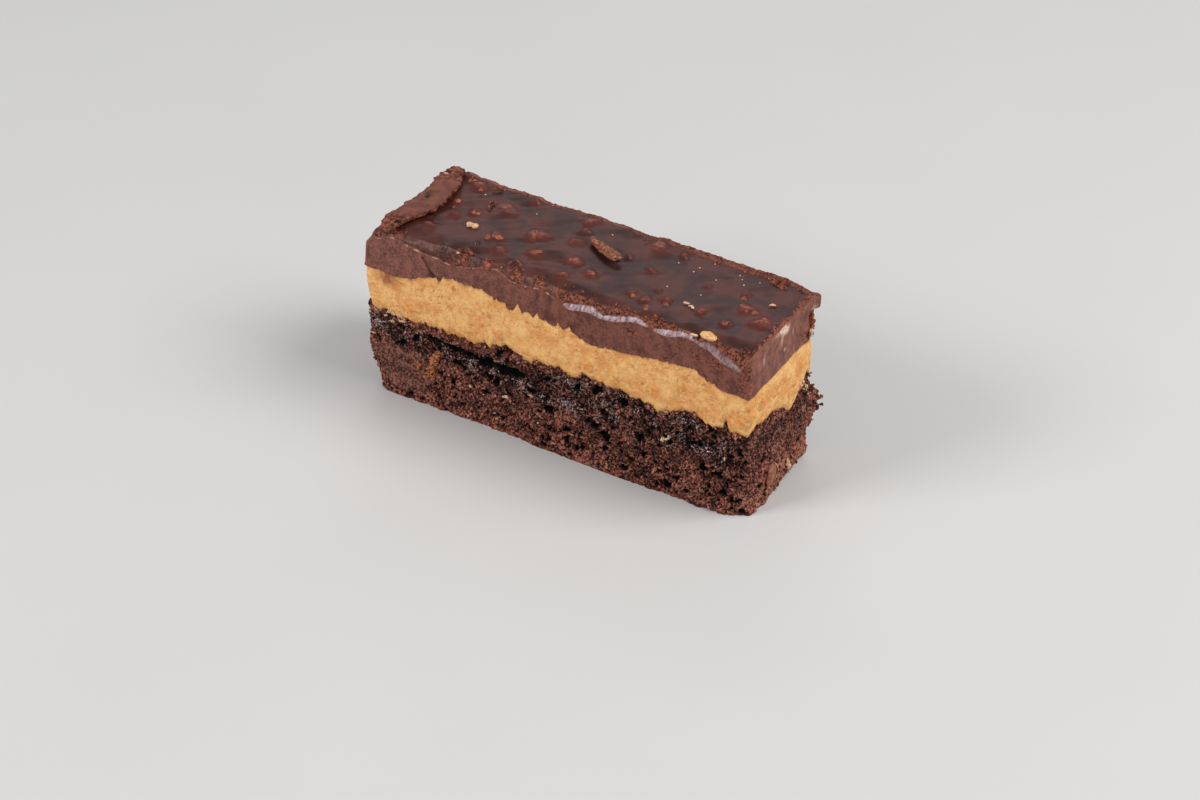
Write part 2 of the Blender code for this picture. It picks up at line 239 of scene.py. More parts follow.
plan = Plan(long_count=389, short_count=106)
SHARP = 4 * plan.right * (plan.front + plan.back) + 4 * plan.left * (plan.front + plan.back)
print("columns round the bar:", len(plan.inner), "of which on the front:", plan.long_count + 1)


# %% [markdown]
# ## Lines between the layers
#
# Where the layers meet, the real bar shows no ruled line. The baked top of the brownie is ragged, and the
# knife has dragged chocolate down into the soft cream in small teeth. Both lines are slow waves, fine noise
# and a few nicks at places of their own. The wall above and the wall below use the same line, so they meet.


# %% Lines and levels
LINE_SLANT = 0.1
BROWNIE_NICKS = (
    (50.0, 4.2, -4.2, 3.4), (50.0, 7.7, -1.3, 2.5), (50.0, -1.5, -0.9, 2.0), (44.7, -14.6, 2.4, 0.5),
    (45.5, -14.6, -1.0, 2.6), (-31.0, -14.6, 0.5, 2.2), (27.9, -14.6, -0.6, 1.6), (36.0, -14.6, 0.8, 2.0),
    (-2.0, -14.6, 0.5, 1.3), (1.4, -14.6, 0.9, 0.6), (-50.0, -14.6, 0.5, 1.5), (-41.5, -14.6, -0.9, 2.6),
    (8.5, -14.6, 1.2, 1.4), (-17.5, -14.6, -1.0, 0.9), (-4.5, -14.6, 0.8, 1.2))
CREAM_NICKS = (
    (-19.0, -14.6, 0.9, 1.6), (-11.4, -14.6, -1.5, 1.2), (4.2, -14.6, 1.6, 3.6), (-46.0, -14.6, 0.3, 3.0),
    (43.0, -14.6, -0.6, 1.8), (35.5, -14.6, 0.7, 3.0), (50.0, -13.0, -0.8, 2.0), (50.0, 12.0, -0.7, 4.0))
CREAM_SPIKES = (
    (-30.4, -0.9, 0.6), (-26.8, 0.6, 0.35), (-22.0, 0.7, 0.4), (-15.2, 1.1, 0.3), (-9.2, 1.6, 0.4),
    (-8.1, -0.8, 0.3), (-5.0, -0.8, 0.3), (-4.0, 1.4, 0.4), (-1.4, 0.6, 0.3), (1.5, 1.3, 0.35),
    (3.0, -0.6, 0.3), (4.6, 1.1, 0.35), (8.2, 0.6, 0.3), (14.0, 0.5, 0.3), (36.2, 0.6, 0.4),
    (39.5, -0.5, 0.3), (41.5, 0.5, 0.3))
DRAG_SPANS = ((-14.0, 10.0, 0.7), (-30.0, 7.0, 0.5), (33.0, 12.0, 0.5))


def waves(x, y, shape):
    """Sum of a few waves along the bar, which run across it at a slight slant."""
    along = x + LINE_SLANT * (y + HALF_WIDTH)
    return sum(height * np.cos(2 * np.pi * (along - crest) / period) for height, crest, period in shape)


def nicks(x, y, places):
    """Sum of round bumps or dents in a line: each is a bell curve of the distance from its place."""
    return sum(height * np.exp(-((x - at_x) ** 2 + (y - at_y) ** 2) / reach**2)
               for at_x, at_y, height, reach in places)


def brownie_line(x, y):
    """Height of the line between brownie and cream: waves, nicks and ragged noise, a little lower along the
    front, where crumbs stand before the cream."""
    place = np.stack([x, y, np.full_like(x, 22.0)], -1)
    ragged = 0.75 * craggy(place, 2.1, 4, salt=1)
    settled = (0.35 + 1.0 * (1 - ease(x, -26, -17)) + 0.6 * ease(x, 14, 20)) * ease(-y, 10, 14)
    return BROWNIE_TOP + waves(x, y, BROWNIE_WAVES) + nicks(x, y, BROWNIE_NICKS) + ragged - settled


def cream_line(x, y):
    """Height of the line between cream and chocolate: waves, nicks, fine noise, and teeth where the knife
    dragged. A tooth is a sawtooth of the place along the bar, with a noise that shifts and scales it."""
    place = np.stack([x, y, np.full_like(x, 34.0)], -1)
    along = x + y + 2.2 * drift(place, 5.0, salt=2)
    tooth = ((along / 1.9) % 1.0) ** 2.5 - 0.3
    dragged = sum(depth * np.exp(-(((x - middle) / reach) ** 2)) for middle, reach, depth in DRAG_SPANS)
    teeth = dragged * tooth * (1.0 + 1.2 * drift(place, 2.0, salt=3))
    line = CREAM_TOP + waves(x, y, CREAM_WAVES) + nicks(x, y, CREAM_NICKS)
    leaning = x + 0.35 * drift(place, 0.8, salt=5)
    spikes = sum(height * np.exp(-(((leaning - at) / reach) ** 2)) for at, height, reach in CREAM_SPIKES)
    return line + teeth + spikes * ease(-y, 12.5, 14.5) + 0.24 * craggy(place, 2.2, 4, salt=4)


outline = plan.ring(0.0)
BROWNIE_LINE = brownie_line(*outline.T)
CREAM_LINE = cream_line(*outline.T)
print("brownie meets cream at", BROWNIE_LINE.min().round(1), "to", BROWNIE_LINE.max().round(1), "mm")
print("cream meets chocolate at", CREAM_LINE.min().round(1), "to", CREAM_LINE.max().round(1), "mm")

# %% [markdown]
# ## The bar's slow bends
#
# The long cut sides belly out a little, and the ends are not upright: the left end is worn under at the foot
# and broken back at the top. Such bends belong to the whole bar, so one function gives them for any layer,
# and the fine relief comes on top. The left end's shape is a short profile: how far the end is drawn in at
# a few heights. It is shared out over the last centimetre, so that the columns next to it make room.


# %% Bends of the whole bar
LEFT_END = (
    (0.0, 3.1), (1.5, 2.0), (4.9, 1.0), (8.0, -0.6), (10.0, -0.9), (16.0, -0.9), (20.0, -0.7), (22.8, 0.3),
    (26.3, -0.6), (30.8, -0.9), (33.1, -0.8), (38.3, -0.3), (40.7, 1.6), (44.5, 3.6))
LEFT_REACH = 10.0


def bend(points):
    """Draws the left end in by its profile, less the further from the end, bellies the sides out, and cuts the
    front's right corner back towards the foot."""
    x, y, z = points[..., 0], points[..., 1], points[..., 2]
    levels, insets = np.array(LEFT_END).T
    share = np.clip((-x - HALF_LENGTH + LEFT_REACH) / LEFT_REACH, 0, 1) ** 2
    belly = 0.4 * np.cos(2 * np.pi * (x - 8) / 54) * np.abs(y / HALF_WIDTH) ** 3 * np.sign(y)
    end_belly = 0.35 * np.cos(2 * np.pi * (y + 6) / 34) * ease(x, 42, 50)
    cut_back = 2.0 * ease(x, 43, 51.5) * np.clip(1 - z / BROWNIE_TOP, 0, 1) * ease(-y, 4, HALF_WIDTH)
    return np.stack([x + share * np.interp(z, levels, insets) + end_belly, y + belly + cut_back, z], -1)


corner_low = bend(np.array([[-50.0, -14.6, 0.0], [-50.0, -14.6, 30.0], [50.0, 0.0, 10.0]]))
print("left end at the foot, left end at 30 mm, right end:", corner_low[:, 0].round(1))

# %% [markdown]
# ## From points to a closed mesh
#
# A shell gathers blocks of points and the faces between them. Values that belong to a point, such as how
# deep in a pit it lies, are kept beside it and become attributes that the materials can read. Faces list
# their corners so that they look outwards: counter-clockwise, seen from outside.


# %% Shells
class Shell:
    """Points, faces and values of one closed surface, gathered block by block."""

    def __init__(self):
        self.points, self.faces, self.values, self.count = [], [], [], 0

    def add(self, block, **values):
        """Adds a block of points of any shape, and returns their numbers in the same shape."""
        block = np.asarray(block, float)
        numbers = self.count + np.arange(block[..., 0].size).reshape(block.shape[:-1])
        self.points.append(block.reshape(-1, 3))
        self.values.append({key: np.broadcast_to(value, block.shape[:-1]).ravel()
                            for key, value in values.items()})
        self.count += numbers.size
        return numbers

    def strips(self, rows, closed=True):
        """Four-cornered faces between rows of points; closed joins the last column to the first."""
        after = np.roll(rows, -1, 1) if closed else rows[:, 1:]
        before = rows if closed else rows[:, :-1]
        self.faces.append(np.stack([before[:-1], after[:-1], after[1:], before[1:]], -1).reshape(-1, 4))

    def fit(self, ring, inner, upwards):
        """Faces between a ring and inner points, where neighbours may share one: a triangle there."""
        corners = np.stack([ring, np.roll(ring, -1), np.roll(inner, -1), inner], -1)
        corners = corners if upwards else corners[:, ::-1]
        shared = inner == np.roll(inner, -1)
        self.faces.append(corners[~shared])
        self.faces.append(corners[shared][:, :3] if upwards else corners[shared][:, 1:])

    def face(self, ring):
        """One face with many corners."""
        self.faces.append(np.asarray(ring).reshape(1, -1))


def finished(name, shell, material, node=None, smooth=True):
    """Makes the shell an object: moves it into the model's frame and metres, clipped to the solid model's box,
    sets its attributes and material, hangs it on the root body, and hides the solid it stands for."""
    points = np.clip((np.concatenate(shell.points) + CENTRE) * MM, *CAD_BOX)
    faces = [block for block in shell.faces if len(block)]
    mesh = bpy.data.meshes.new(name)
    mesh.vertices.add(len(points))
    mesh.vertices.foreach_set("co", points.ravel())
    sizes = np.concatenate([np.full(len(block), block.shape[1]) for block in faces])
    mesh.loops.add(int(sizes.sum()))
    mesh.loops.foreach_set("vertex_index",
                           np.concatenate([block.ravel() for block in faces]).astype(np.int32))
    mesh.polygons.add(len(sizes))
    mesh.polygons.foreach_set("loop_start", np.concatenate([[0], np.cumsum(sizes)[:-1]]).astype(np.int32))
    mesh.polygons.foreach_set("use_smooth", np.full(len(sizes), smooth))
    for key in sorted({key for block in shell.values for key in block}):
        parts = [block.get(key, np.zeros(len(place))) for block, place in zip(shell.values, shell.points)]
        attribute = mesh.attributes.new(key, "FLOAT", "POINT")
        attribute.data.foreach_set("value", np.concatenate(parts).astype(np.float32))
    mesh.update(calc_edges=True)
    mesh.validate()
    mesh.materials.append(material)
    piece = bpy.data.objects.new(name, mesh)
    bpy.context.scene.collection.objects.link(piece)
    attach(piece, "root")
    if node:
        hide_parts(node)
    print(name, "has", len(points), "points and", int((sizes - 2).sum()), "triangles")
    return piece


# %% [markdown]
# Two kinds of small pieces return all over the bar. Crumbs and bits of nut are pebbles: balls whose radius
# swings with noise. Flakes, shavings and the loose strip at the left end are ribbons: a squared oval carried
# along a path. Each pebble is a grid of a few dozen faces, and a thousand of them make one mesh.


# %% Pebbles and ribbons
def turned(vectors, yaw, pitch):
    """Vectors turned about X by the pitch, then about Z by the yaw."""
    x, y, z = vectors[..., 0], vectors[..., 1], vectors[..., 2]
    y, z = y * np.cos(pitch) - z * np.sin(pitch), y * np.sin(pitch) + z * np.cos(pitch)
    return np.stack([x * np.cos(yaw) - y * np.sin(yaw), x * np.sin(yaw) + y * np.cos(yaw), z], -1)


def pebbles(shell, centres, radii, yaw=0.0, pitch=0.0, rough=0.3, salt=0, rows=3, columns=6, **values):
    """Balls at the centres: polar angle by rows, round the axis by columns, a pole at each end. The radius is
    1 + rough times noise of the direction and the pebble's own place, times the three radii."""
    centres = np.atleast_2d(np.asarray(centres, float))
    radii = np.broadcast_to(np.asarray(radii, float), centres.shape)
    polar = np.linspace(np.pi, 0, rows + 2)[1:-1, None]
    round_axis = np.linspace(0, 2 * np.pi, columns, endpoint=False)[None, :]
    level = np.cos(polar) * np.ones_like(round_axis)
    ball = np.stack([np.sin(polar) * np.cos(round_axis), np.sin(polar) * np.sin(round_axis), level], -1)
    ball = np.concatenate([ball.reshape(-1, 3), [[0, 0, -1], [0, 0, 1]]])[None]
    swing = 1 + rough * craggy(ball * 1.4 + centres[:, None] * 5.3, 1.0, 2, salt)
    yaw, pitch = (np.broadcast_to(angle, len(centres))[:, None] for angle in (yaw, pitch))
    points = centres[:, None] + turned(ball * radii[:, None] * swing[..., None], yaw, pitch)
    points[..., 2] = np.maximum(points[..., 2], 0.02)
    values = {key: np.broadcast_to(np.reshape(value, (-1, 1)), points.shape[:2])
              for key, value in values.items()}
    numbers = shell.add(points, **values)
    grid = numbers[:, :-2].reshape(len(centres), rows, columns)
    after = np.roll(grid, -1, 2)
    shell.faces.append(np.stack([grid[:, :-1], after[:, :-1], after[:, 1:], grid[:, 1:]], -1).reshape(-1, 4))
    south, north = (np.broadcast_to(numbers[:, pole, None], after[:, 0].shape) for pole in (-2, -1))
    shell.faces.append(np.stack([south, after[:, 0], grid[:, 0]], -1).reshape(-1, 3))
    shell.faces.append(np.stack([north, grid[:, -1], after[:, -1]], -1).reshape(-1, 3))


def ribbon(shell, path, across, width, thick, rough=0.1, size=1.0, salt=0, columns=40,
           square=0.45, torn=None, gaps=None, **values):
    """A squared oval carried along a path. At each point of the path it reaches half a width along the vector
    across, and half a thickness along the normal, which is square to the path and to that vector."""
    path, across = (np.asarray(path, float),
                    np.asarray(across, float) / np.linalg.norm(across, axis=-1, keepdims=True))
    tangent = np.gradient(path, axis=0)
    normal = np.cross(tangent, across)
    normal /= np.linalg.norm(normal, axis=-1, keepdims=True)
    angle = np.linspace(0, 2 * np.pi, columns, endpoint=False)
    cosine, sine = np.cos(angle), np.sin(angle)
    reach = np.sign(cosine) * np.abs(cosine) ** square
    lift = np.sign(sine) * np.abs(sine) ** square
    side = (across * np.reshape(width, (-1, 1)) / 2)[:, None] * reach[None, :, None]
    rise = (normal * np.reshape(thick, (-1, 1)) / 2)[:, None] * lift[None, :, None]
    points = path[:, None] + side + rise
    amount = np.ones(points.shape[:2]) if torn is None else torn(points)
    hole = np.zeros(points.shape[:2]) if gaps is None else gaps(points)
    outward = (side + rise) / (np.linalg.norm(side + rise, axis=-1, keepdims=True) + 1e-6)
    points = points + outward * (rough * amount * craggy(points, size, 4, salt) - 0.9 * hole)[..., None]
    numbers = shell.add(points, torn=amount, gap=hole, **values)
    shell.strips(numbers)
    for end, step in ((0, 1), (-1, -1)):
        pole = shell.add(points[end].mean(0, keepdims=True), torn=amount[end].mean(), **values)
        ring = numbers[end]
        after = np.roll(ring, -1)
        pole = np.broadcast_to(pole, ring.shape)
        shell.faces.append(np.stack([pole, after, ring] if step == 1 else [pole, ring, after], -1))


# %% [markdown]
# ## Materials as expressions
#
# A material is a graph of nodes, and long graphs are hard to read as lists of links. A flow stands for one
# value on its way through the graph, and plus, minus, times and power on it add the Math nodes. Every other
# node comes from one method, which takes the node's type, its settings and what goes into its sockets.


# %% Flows and surfaces
class Flow:
    """A number on its way through a material: Python's operators on it add Math nodes."""

    def __init__(self, surface, socket):
        self.surface, self.socket = surface, socket

    def maths(self, operation, *others):
        """A Math node on this flow and other values."""
        sockets = {number: value for number, value in enumerate((self,) + others)}
        return self.surface.add("ShaderNodeMath", {"operation": operation}, sockets)

    def reverse(self, operation, other):
        """The same, with this flow as the second value."""
        return self.surface.add("ShaderNodeMath", {"operation": operation}, {0: other, 1: self})

    def __add__(self, other):
        return self.maths("ADD", other)

    def __sub__(self, other):
        return self.maths("SUBTRACT", other)

    def __rsub__(self, other):
        return self.reverse("SUBTRACT", other)

    def __mul__(self, other):
        return self.maths("MULTIPLY", other)

    def __pow__(self, other):
        return self.maths("POWER", other)

    __radd__, __rmul__ = __add__, __mul__

    def between(self, low, high):
        """0 below low, 1 above high, an S curve between."""
        settings = {"interpolation_type": "SMOOTHSTEP"}
        return self.surface.add("ShaderNodeMapRange", settings, {0: self, 1: low, 2: high, 3: 0.0, 4: 1.0})


class Surface:
    """A material being built on a Principled shader."""

    def __init__(self, name, **constants):
        self.material = bpy.data.materials.new(name)
        self.material.use_nodes = True
        self.tree = self.material.node_tree
        self.shader = self.tree.nodes["Principled BSDF"]
        for key, value in constants.items():
            self.shader.inputs[key.replace("_", " ")].default_value = value
        self.place = self.add("ShaderNodeTexCoord", output="Object")

    def add(self, kind, settings=(), sockets=(), output=0):
        """Adds a node: its settings first, then the values or links of its sockets. Returns one output."""
        node = self.tree.nodes.new(kind)
        for key, value in dict(settings).items():
            if key == "stops":
                self.set_stops(node.color_ramp.elements, value)
            else:
                setattr(node, key, value)
        for key, value in dict(sockets).items():
            if isinstance(value, Flow):
                self.tree.links.new(value.socket, node.inputs[key])
            else:
                node.inputs[key].default_value = value
        return Flow(self, node.outputs[output])

    @staticmethod
    def set_stops(elements, stops):
        """Puts a ramp's stops in place: each is a position and a colour."""
        while len(elements) < len(stops):
            elements.new(1.0)
        for element, (position, colour) in zip(elements, stops):
            element.position, element.color = position, colour

    def value(self, name):
        """The value that the mesh's points carry under this name."""
        return self.add("ShaderNodeAttribute", {"attribute_name": name}, output="Fac")

    def noise(self, size, detail=3.0, roughness=0.55, place=None):
        """Noise from 0 to 1 whose blobs are about so many millimetres across."""
        sockets = {"Vector": place or self.place, "Scale": 1 / (size * MM), "Detail": detail,
                   "Roughness": roughness}
        return self.add("ShaderNodeTexNoise", {}, sockets)

    def cells(self, size, feature="F1", output="Distance", place=None):
        """Distance to strewn points that lie about so many millimetres apart."""
        sockets = {"Vector": place or self.place, "Scale": 1 / (size * MM)}
        return self.add("ShaderNodeTexVoronoi", {"feature": feature}, sockets, output)

    def along(self, axis):
        """The place along one axis, in metres: 0 for X, 1 for Y, 2 for Z."""
        return self.add("ShaderNodeSeparateXYZ", {}, {0: self.place}, axis)

    def stretched(self, scale):
        """The place, with each axis multiplied, which stretches a pattern the other way."""
        return self.add("ShaderNodeVectorMath", {"operation": "MULTIPLY"}, {0: self.place, 1: scale})

    def mix(self, share, first, second):
        """A colour between two, by the share of the second."""
        sockets = {0: share, 6: first, 7: second}
        return self.add("ShaderNodeMix", {"data_type": "RGBA", "clamp_factor": True}, sockets, 2)

    def bump(self, height, distance, strength=1.0, under=None):
        """A normal for a height from 0 to 1 that is so many millimetres high, over another normal."""
        sockets = {"Height": height, "Distance": distance * MM, "Strength": strength}
        if under:
            sockets["Normal"] = under
        return self.add("ShaderNodeBump", {}, sockets)

    def done(self, **links):
        """Links flows to the shader's sockets and returns the material."""
        for key, flow in links.items():
            self.tree.links.new(flow.socket, self.shader.inputs[key.replace("_", " ")])
        return self.material


def colour(red, green, blue):
    """A screen colour from 0 to 255, as the linear light that shaders work in."""
    screen = np.array([red, green, blue]) / 255
    linear = np.where(screen <= 0.04045, screen / 12.92, ((screen + 0.055) / 1.055) ** 2.4)
    return (*(float(value) for value in linear), 1.0)


print("a mid brown in linear light:", [round(value, 3) for value in colour(120, 70, 50)])

# %% [markdown]
# ## The brownie's crumb
#
# Cut brownie is a sponge: round pores of many sizes, thin walls between them, and crumbs torn loose by the
# knife. It could be carved with a displacement texture, but then only the render would know its holes. Here
# the wall's own points are moved in and out: slow crags, then three sizes of round pits, one to a cell of a
# strewn pattern, then small lumps. How deep a point lies, with a dark zone round the crevice added in, is
# kept as the attribute "hollow", and the material paints shade into the pores and the crevice by it.
#
# The crumb isn't the same all over. Near the left end the knife has pressed it to a smooth skin, the right
# end is closer, and under the cream runs a moist, dark, glossy band with a deep crevice in it.

# %% Where the crumb is smooth, close or moist
SMOOTH_PATCH = (-41.0, 7.5, 8.5, 6.2)
CREVICE = ((-36.0, 18.8), (-30.5, 17.7), (-26.0, 16.9), (-20.0, 16.1), (-14.0, 16.2), (-6.0, 17.2))
CREVICE_DEPTH, CREVICE_HEIGHT = 2.0, 0.8
DEEP_HOLES = (
    (-14.3, 15.1, 1.0), (-6.2, 13.6, 1.35), (-1.5, 18.4, 1.0), (-1.5, 13.7, 1.0), (-5.5, 3.4, 1.0),
    (11.1, 11.0, 1.1), (19.1, 2.8, 1.0), (-13.2, 3.4, 0.8), (30.5, 17.0, 0.9), (41.5, 19.3, 0.8),
    (24.0, 16.0, 0.8), (35.0, 6.5, 0.6), (-22.5, 12.0, 0.7), (4.0, 7.0, 0.7))


def smooth_crumb(place, front):
    """Share of pressed, smooth crumb: an oval patch on the front, near the left end, with a ragged edge."""
    middle_x, middle_z, reach_x, reach_z = SMOOTH_PATCH
    oval = np.hypot((place[..., 0] - middle_x) / reach_x, (place[..., 2] - middle_z) / reach_z)
    return front * (1 - ease(oval + 0.18 * drift(place, 3.0, salt=20), 0.75, 1.15))


def moist_crumb(place):
    """Share of moist crumb: a band below the cream with wandering edges; drier again on the ledge."""
    lower_edge = 11.5 + 2.2 * drift(place * (1, 1, 0.3), 9.0, salt=21) + 3.0 * ease(-place[..., 0], 30, 45)
    upper_edge = 19.6 + 1.2 * drift(place, 4.0, salt=19) + 3.0 * ease(place[..., 0], -6, 6)
    return (ease(place[..., 2], lower_edge - 2.5, lower_edge + 2.0)
            * (1 - 0.8 * ease(place[..., 2], upper_edge - 1, upper_edge + 1)))


def crevice(place, front):
    """Depth of the crevice: a groove along a bent line, deepest in its middle and closed at both ends."""
    x, z = place[..., 0], place[..., 2]
    line_x, line_z = np.array(CREVICE).T
    wander = 0.5 * drift(place, 2.2, salt=22) + 0.35 * craggy(place, 1.1, 3, salt=18)
    away = (z - np.interp(x, line_x, line_z) - wander) / CREVICE_HEIGHT
    along = ease(x, line_x[0], line_x[0] + 3) * (1 - ease(x, line_x[-1] - 4, line_x[-1]))
    return (front * CREVICE_DEPTH * along * np.exp(-(away**2))
            * np.clip(1.0 + 0.4 * craggy(place, 3.0, 3, salt=23), 0.5, 1.4))


def deep_holes(place, front):
    """Depth of single deep holes on the front."""
    depth = np.zeros(place.shape[:-1])
    for x, z, radius in DEEP_HOLES:
        wobble = 1 + 0.35 * drift(place, 1.2, salt=24)
        away = np.hypot(place[..., 0] - x, place[..., 2] - z) / (radius * wobble)
        depth = np.maximum(depth, 1.3 * radius * np.sqrt(np.clip(1 - away**2, 0, 1)))
    return front * depth


# %% The brownie's stance and the crumb's relief
def stance(place, front, right, back):
    """How far the wall stands out as a whole: flared at the front's foot, drawn in along the foot of the right
    end, and bulging over a hollow at the far right corner."""
    x, y, z = place[..., 0], place[..., 1], place[..., 2]
    flare = front * 1.2 * (1 - ease(z, 0, 7)) * (1 - ease(x, 42, 49)) * ease(x, -51, -45)
    drawn_in = right * np.interp(y, (-7.0, -0.4, 5.4, 11.8), (0.0, 0.5, 1.7, 1.3)) + 0.4 * back
    overhang = ease(z, 8.4, 10.2) * (1 - ease(z, 16.0, 18.5))
    far_corner = ease(x, 37, 47) * ease(y, 6, 12.5) * (0.5 + 0.5 * back)
    return flare - drawn_in * (1 - ease(z, 0.0, 1.8)) + far_corner * (1.7 * overhang - 0.6)


def crumb_relief(place, front, right):
    """How far the crumb stands out at each place, how hollow it is there from 0 to 1 with painted shade
    round the crevice added in, and how smooth.
    """
    smooth = smooth_crumb(place, front)
    warped = place + 0.8 * np.stack([drift(place, 1.9, salt=25 + axis) for axis in range(3)], -1)
    warped = warped + 0.3 * np.stack([drift(place, 0.8, salt=15 + axis) for axis in range(3)], -1)
    openness = (1 - 0.85 * smooth) * (1 - 0.45 * right) * (0.9 + 0.5 * drift(place, 6.0, salt=29))
    openness = openness * (0.35 + 0.65 * ease(place[..., 2], 0.2, 2.2))
    large = sponge(warped, 2.7, 0.22, salt=30) * 1.4
    middle = sponge(warped, 1.6, 0.38, salt=31) * 1.05
    small = sponge(warped, 0.85, 0.42, salt=32) * 0.65
    depth = openness * np.maximum(large, np.maximum(middle, small))
    nearest, _, number = strewn(warped, 1.05, salt=33)
    lumps = (0.55 - nearest) * 0.55 * (0.3 + number) * (1 - 0.75 * smooth)
    crags = 0.42 * craggy(place, 4.2, 4, salt=34) * (1 - 0.5 * smooth)
    groove = crevice(place, front)
    hole = np.maximum(deep_holes(place, front), groove)
    x, z = place[..., 0], place[..., 2]
    ledge = front * 0.6 * ease(z, 17.6, 19.0) * ease(x, -38, -33) * (1 - ease(x, -8, 2))
    stand_out = crags + lumps + ledge - np.maximum(depth * (1 - 0.5 * ledge), hole)
    shade = (0.5 + 0.3 * craggy(place, 0.8, 2, salt=17)) * np.clip(groove / CREVICE_DEPTH, 0, 1) ** 0.5
    hollow = np.maximum(depth / 0.85 + 0.2 * ease(nearest, 0.55, 0.9), np.maximum(hole / 1.1, shade))
    hollow = np.clip(hollow, 0, 1)
    return stand_out, hollow, smooth


# %% [markdown]
# The wall of the brownie is a grid: columns round the plan, rows from the foot up to the cream. Its top and
# bottom rows turn in to the inner rectangle, a ring there runs level, and one face closes each side. Those
# two faces are hidden, one inside the bar and one under it.

# %% The brownie's body
BROWNIE_ROWS, CREAM_ROWS, SLAB_ROWS, EDGE_ROWS = 88, 46, 37, 19
LEVEL_INSET = 2.6
DEEPEST, HIGHEST = -2.3, 1.1


def wall(rows, low, high):
    """Nominal points of a wall, rows by columns: upright lines between a low and a high level."""
    share = np.linspace(0, 1, rows)[:, None]
    z = low + (high - low) * share
    ring = plan.ring(0.0)
    return np.stack([np.broadcast_to(ring[:, 0], z.shape), np.broadcast_to(ring[:, 1], z.shape), z], -1)


def outwards():
    """The columns' outward directions, as rows of X, Y and Z."""
    return np.concatenate([plan.outward, np.zeros((len(plan.outward), 1))], -1)


def close_level(shell, ring, line, level, upwards):
    """Closes a body inside a ring of its wall: in to the inner rectangle at the line's height, on to a smaller
    one at the level, and one face over the rest."""
    inner = plan.inner_ring()
    heights = np.zeros(plan.inner_count)
    heights[plan.inner] = line
    first = shell.add(bend(np.column_stack([inner, heights])))
    shrink = 1 - LEVEL_INSET / np.array([HALF_LENGTH, HALF_WIDTH])
    second = shell.add(bend(np.column_stack([inner * shrink, np.full(len(inner), level)])))
    shell.fit(ring, first[plan.inner], upwards)
    pair = np.stack([first, second] if upwards else [second, first])
    shell.strips(pair)
    shell.face(second if upwards else second[::-1])


def brownie_body(material):
    """The brownie: its wall with the crumb's relief, closed above and below."""
    place = wall(BROWNIE_ROWS, 0.0, BROWNIE_LINE)
    relief, hollow, smooth = crumb_relief(place, plan.front, plan.right)
    x, y, z = place[..., 0], place[..., 1], place[..., 2]
    lip = 0.25 * ease(z - BROWNIE_LINE, -1.2, 0.0)
    stand_out = np.clip(relief, DEEPEST, HIGHEST) + lip + stance(place, plan.front, plan.right, plan.back)
    sideways = 0.16 * drift(place, 0.9, salt=35)
    upwards = 0.14 * drift(place, 0.9, salt=36)
    edge = np.sin(np.pi * np.linspace(0, 1, BROWNIE_ROWS))[:, None] ** 0.3
    along = np.column_stack([-plan.outward[:, 1], plan.outward[:, 0], np.zeros(len(plan.outward))])
    points = bend(place) + stand_out[..., None] * outwards() + sideways[..., None] * along
    points[..., 2] = np.clip(points[..., 2] + upwards * edge, 0.0, None)
    close = np.maximum(plan.right, 0.7 * plan.front * ease(x, 45.5, 48.6))
    values = {"hollow": hollow, "smooth": smooth, "moist": moist_crumb(place), "close": close}
    reddish = plan.front * ease(z, 18.2, 19.4) * ease(x, -38, -33) * (1 - ease(x, -10, -4))
    values["foot"] = (1 - ease(z, 0.3, 1.5)) * (plan.front + plan.right) + 0.8 * reddish
    values["smear"] = plan.front * np.exp(-(((place[..., 0] + 32.6 + 0.4 * (12 - place[..., 2])) / 1.3) ** 2))
    values["smear"] *= np.exp(-(((place[..., 2] - 10.8) / 4.0) ** 2))
    shell = Shell()
    numbers = shell.add(points, **values)
    shell.strips(numbers)
    close_level(shell, numbers[-1], BROWNIE_LINE, BROWNIE_TOP, True)
    close_level(shell, numbers[0], np.zeros(len(plan.inner)), 0.0, False)
    return finished("brownie_crumb_body", shell, material, "brownie_base")
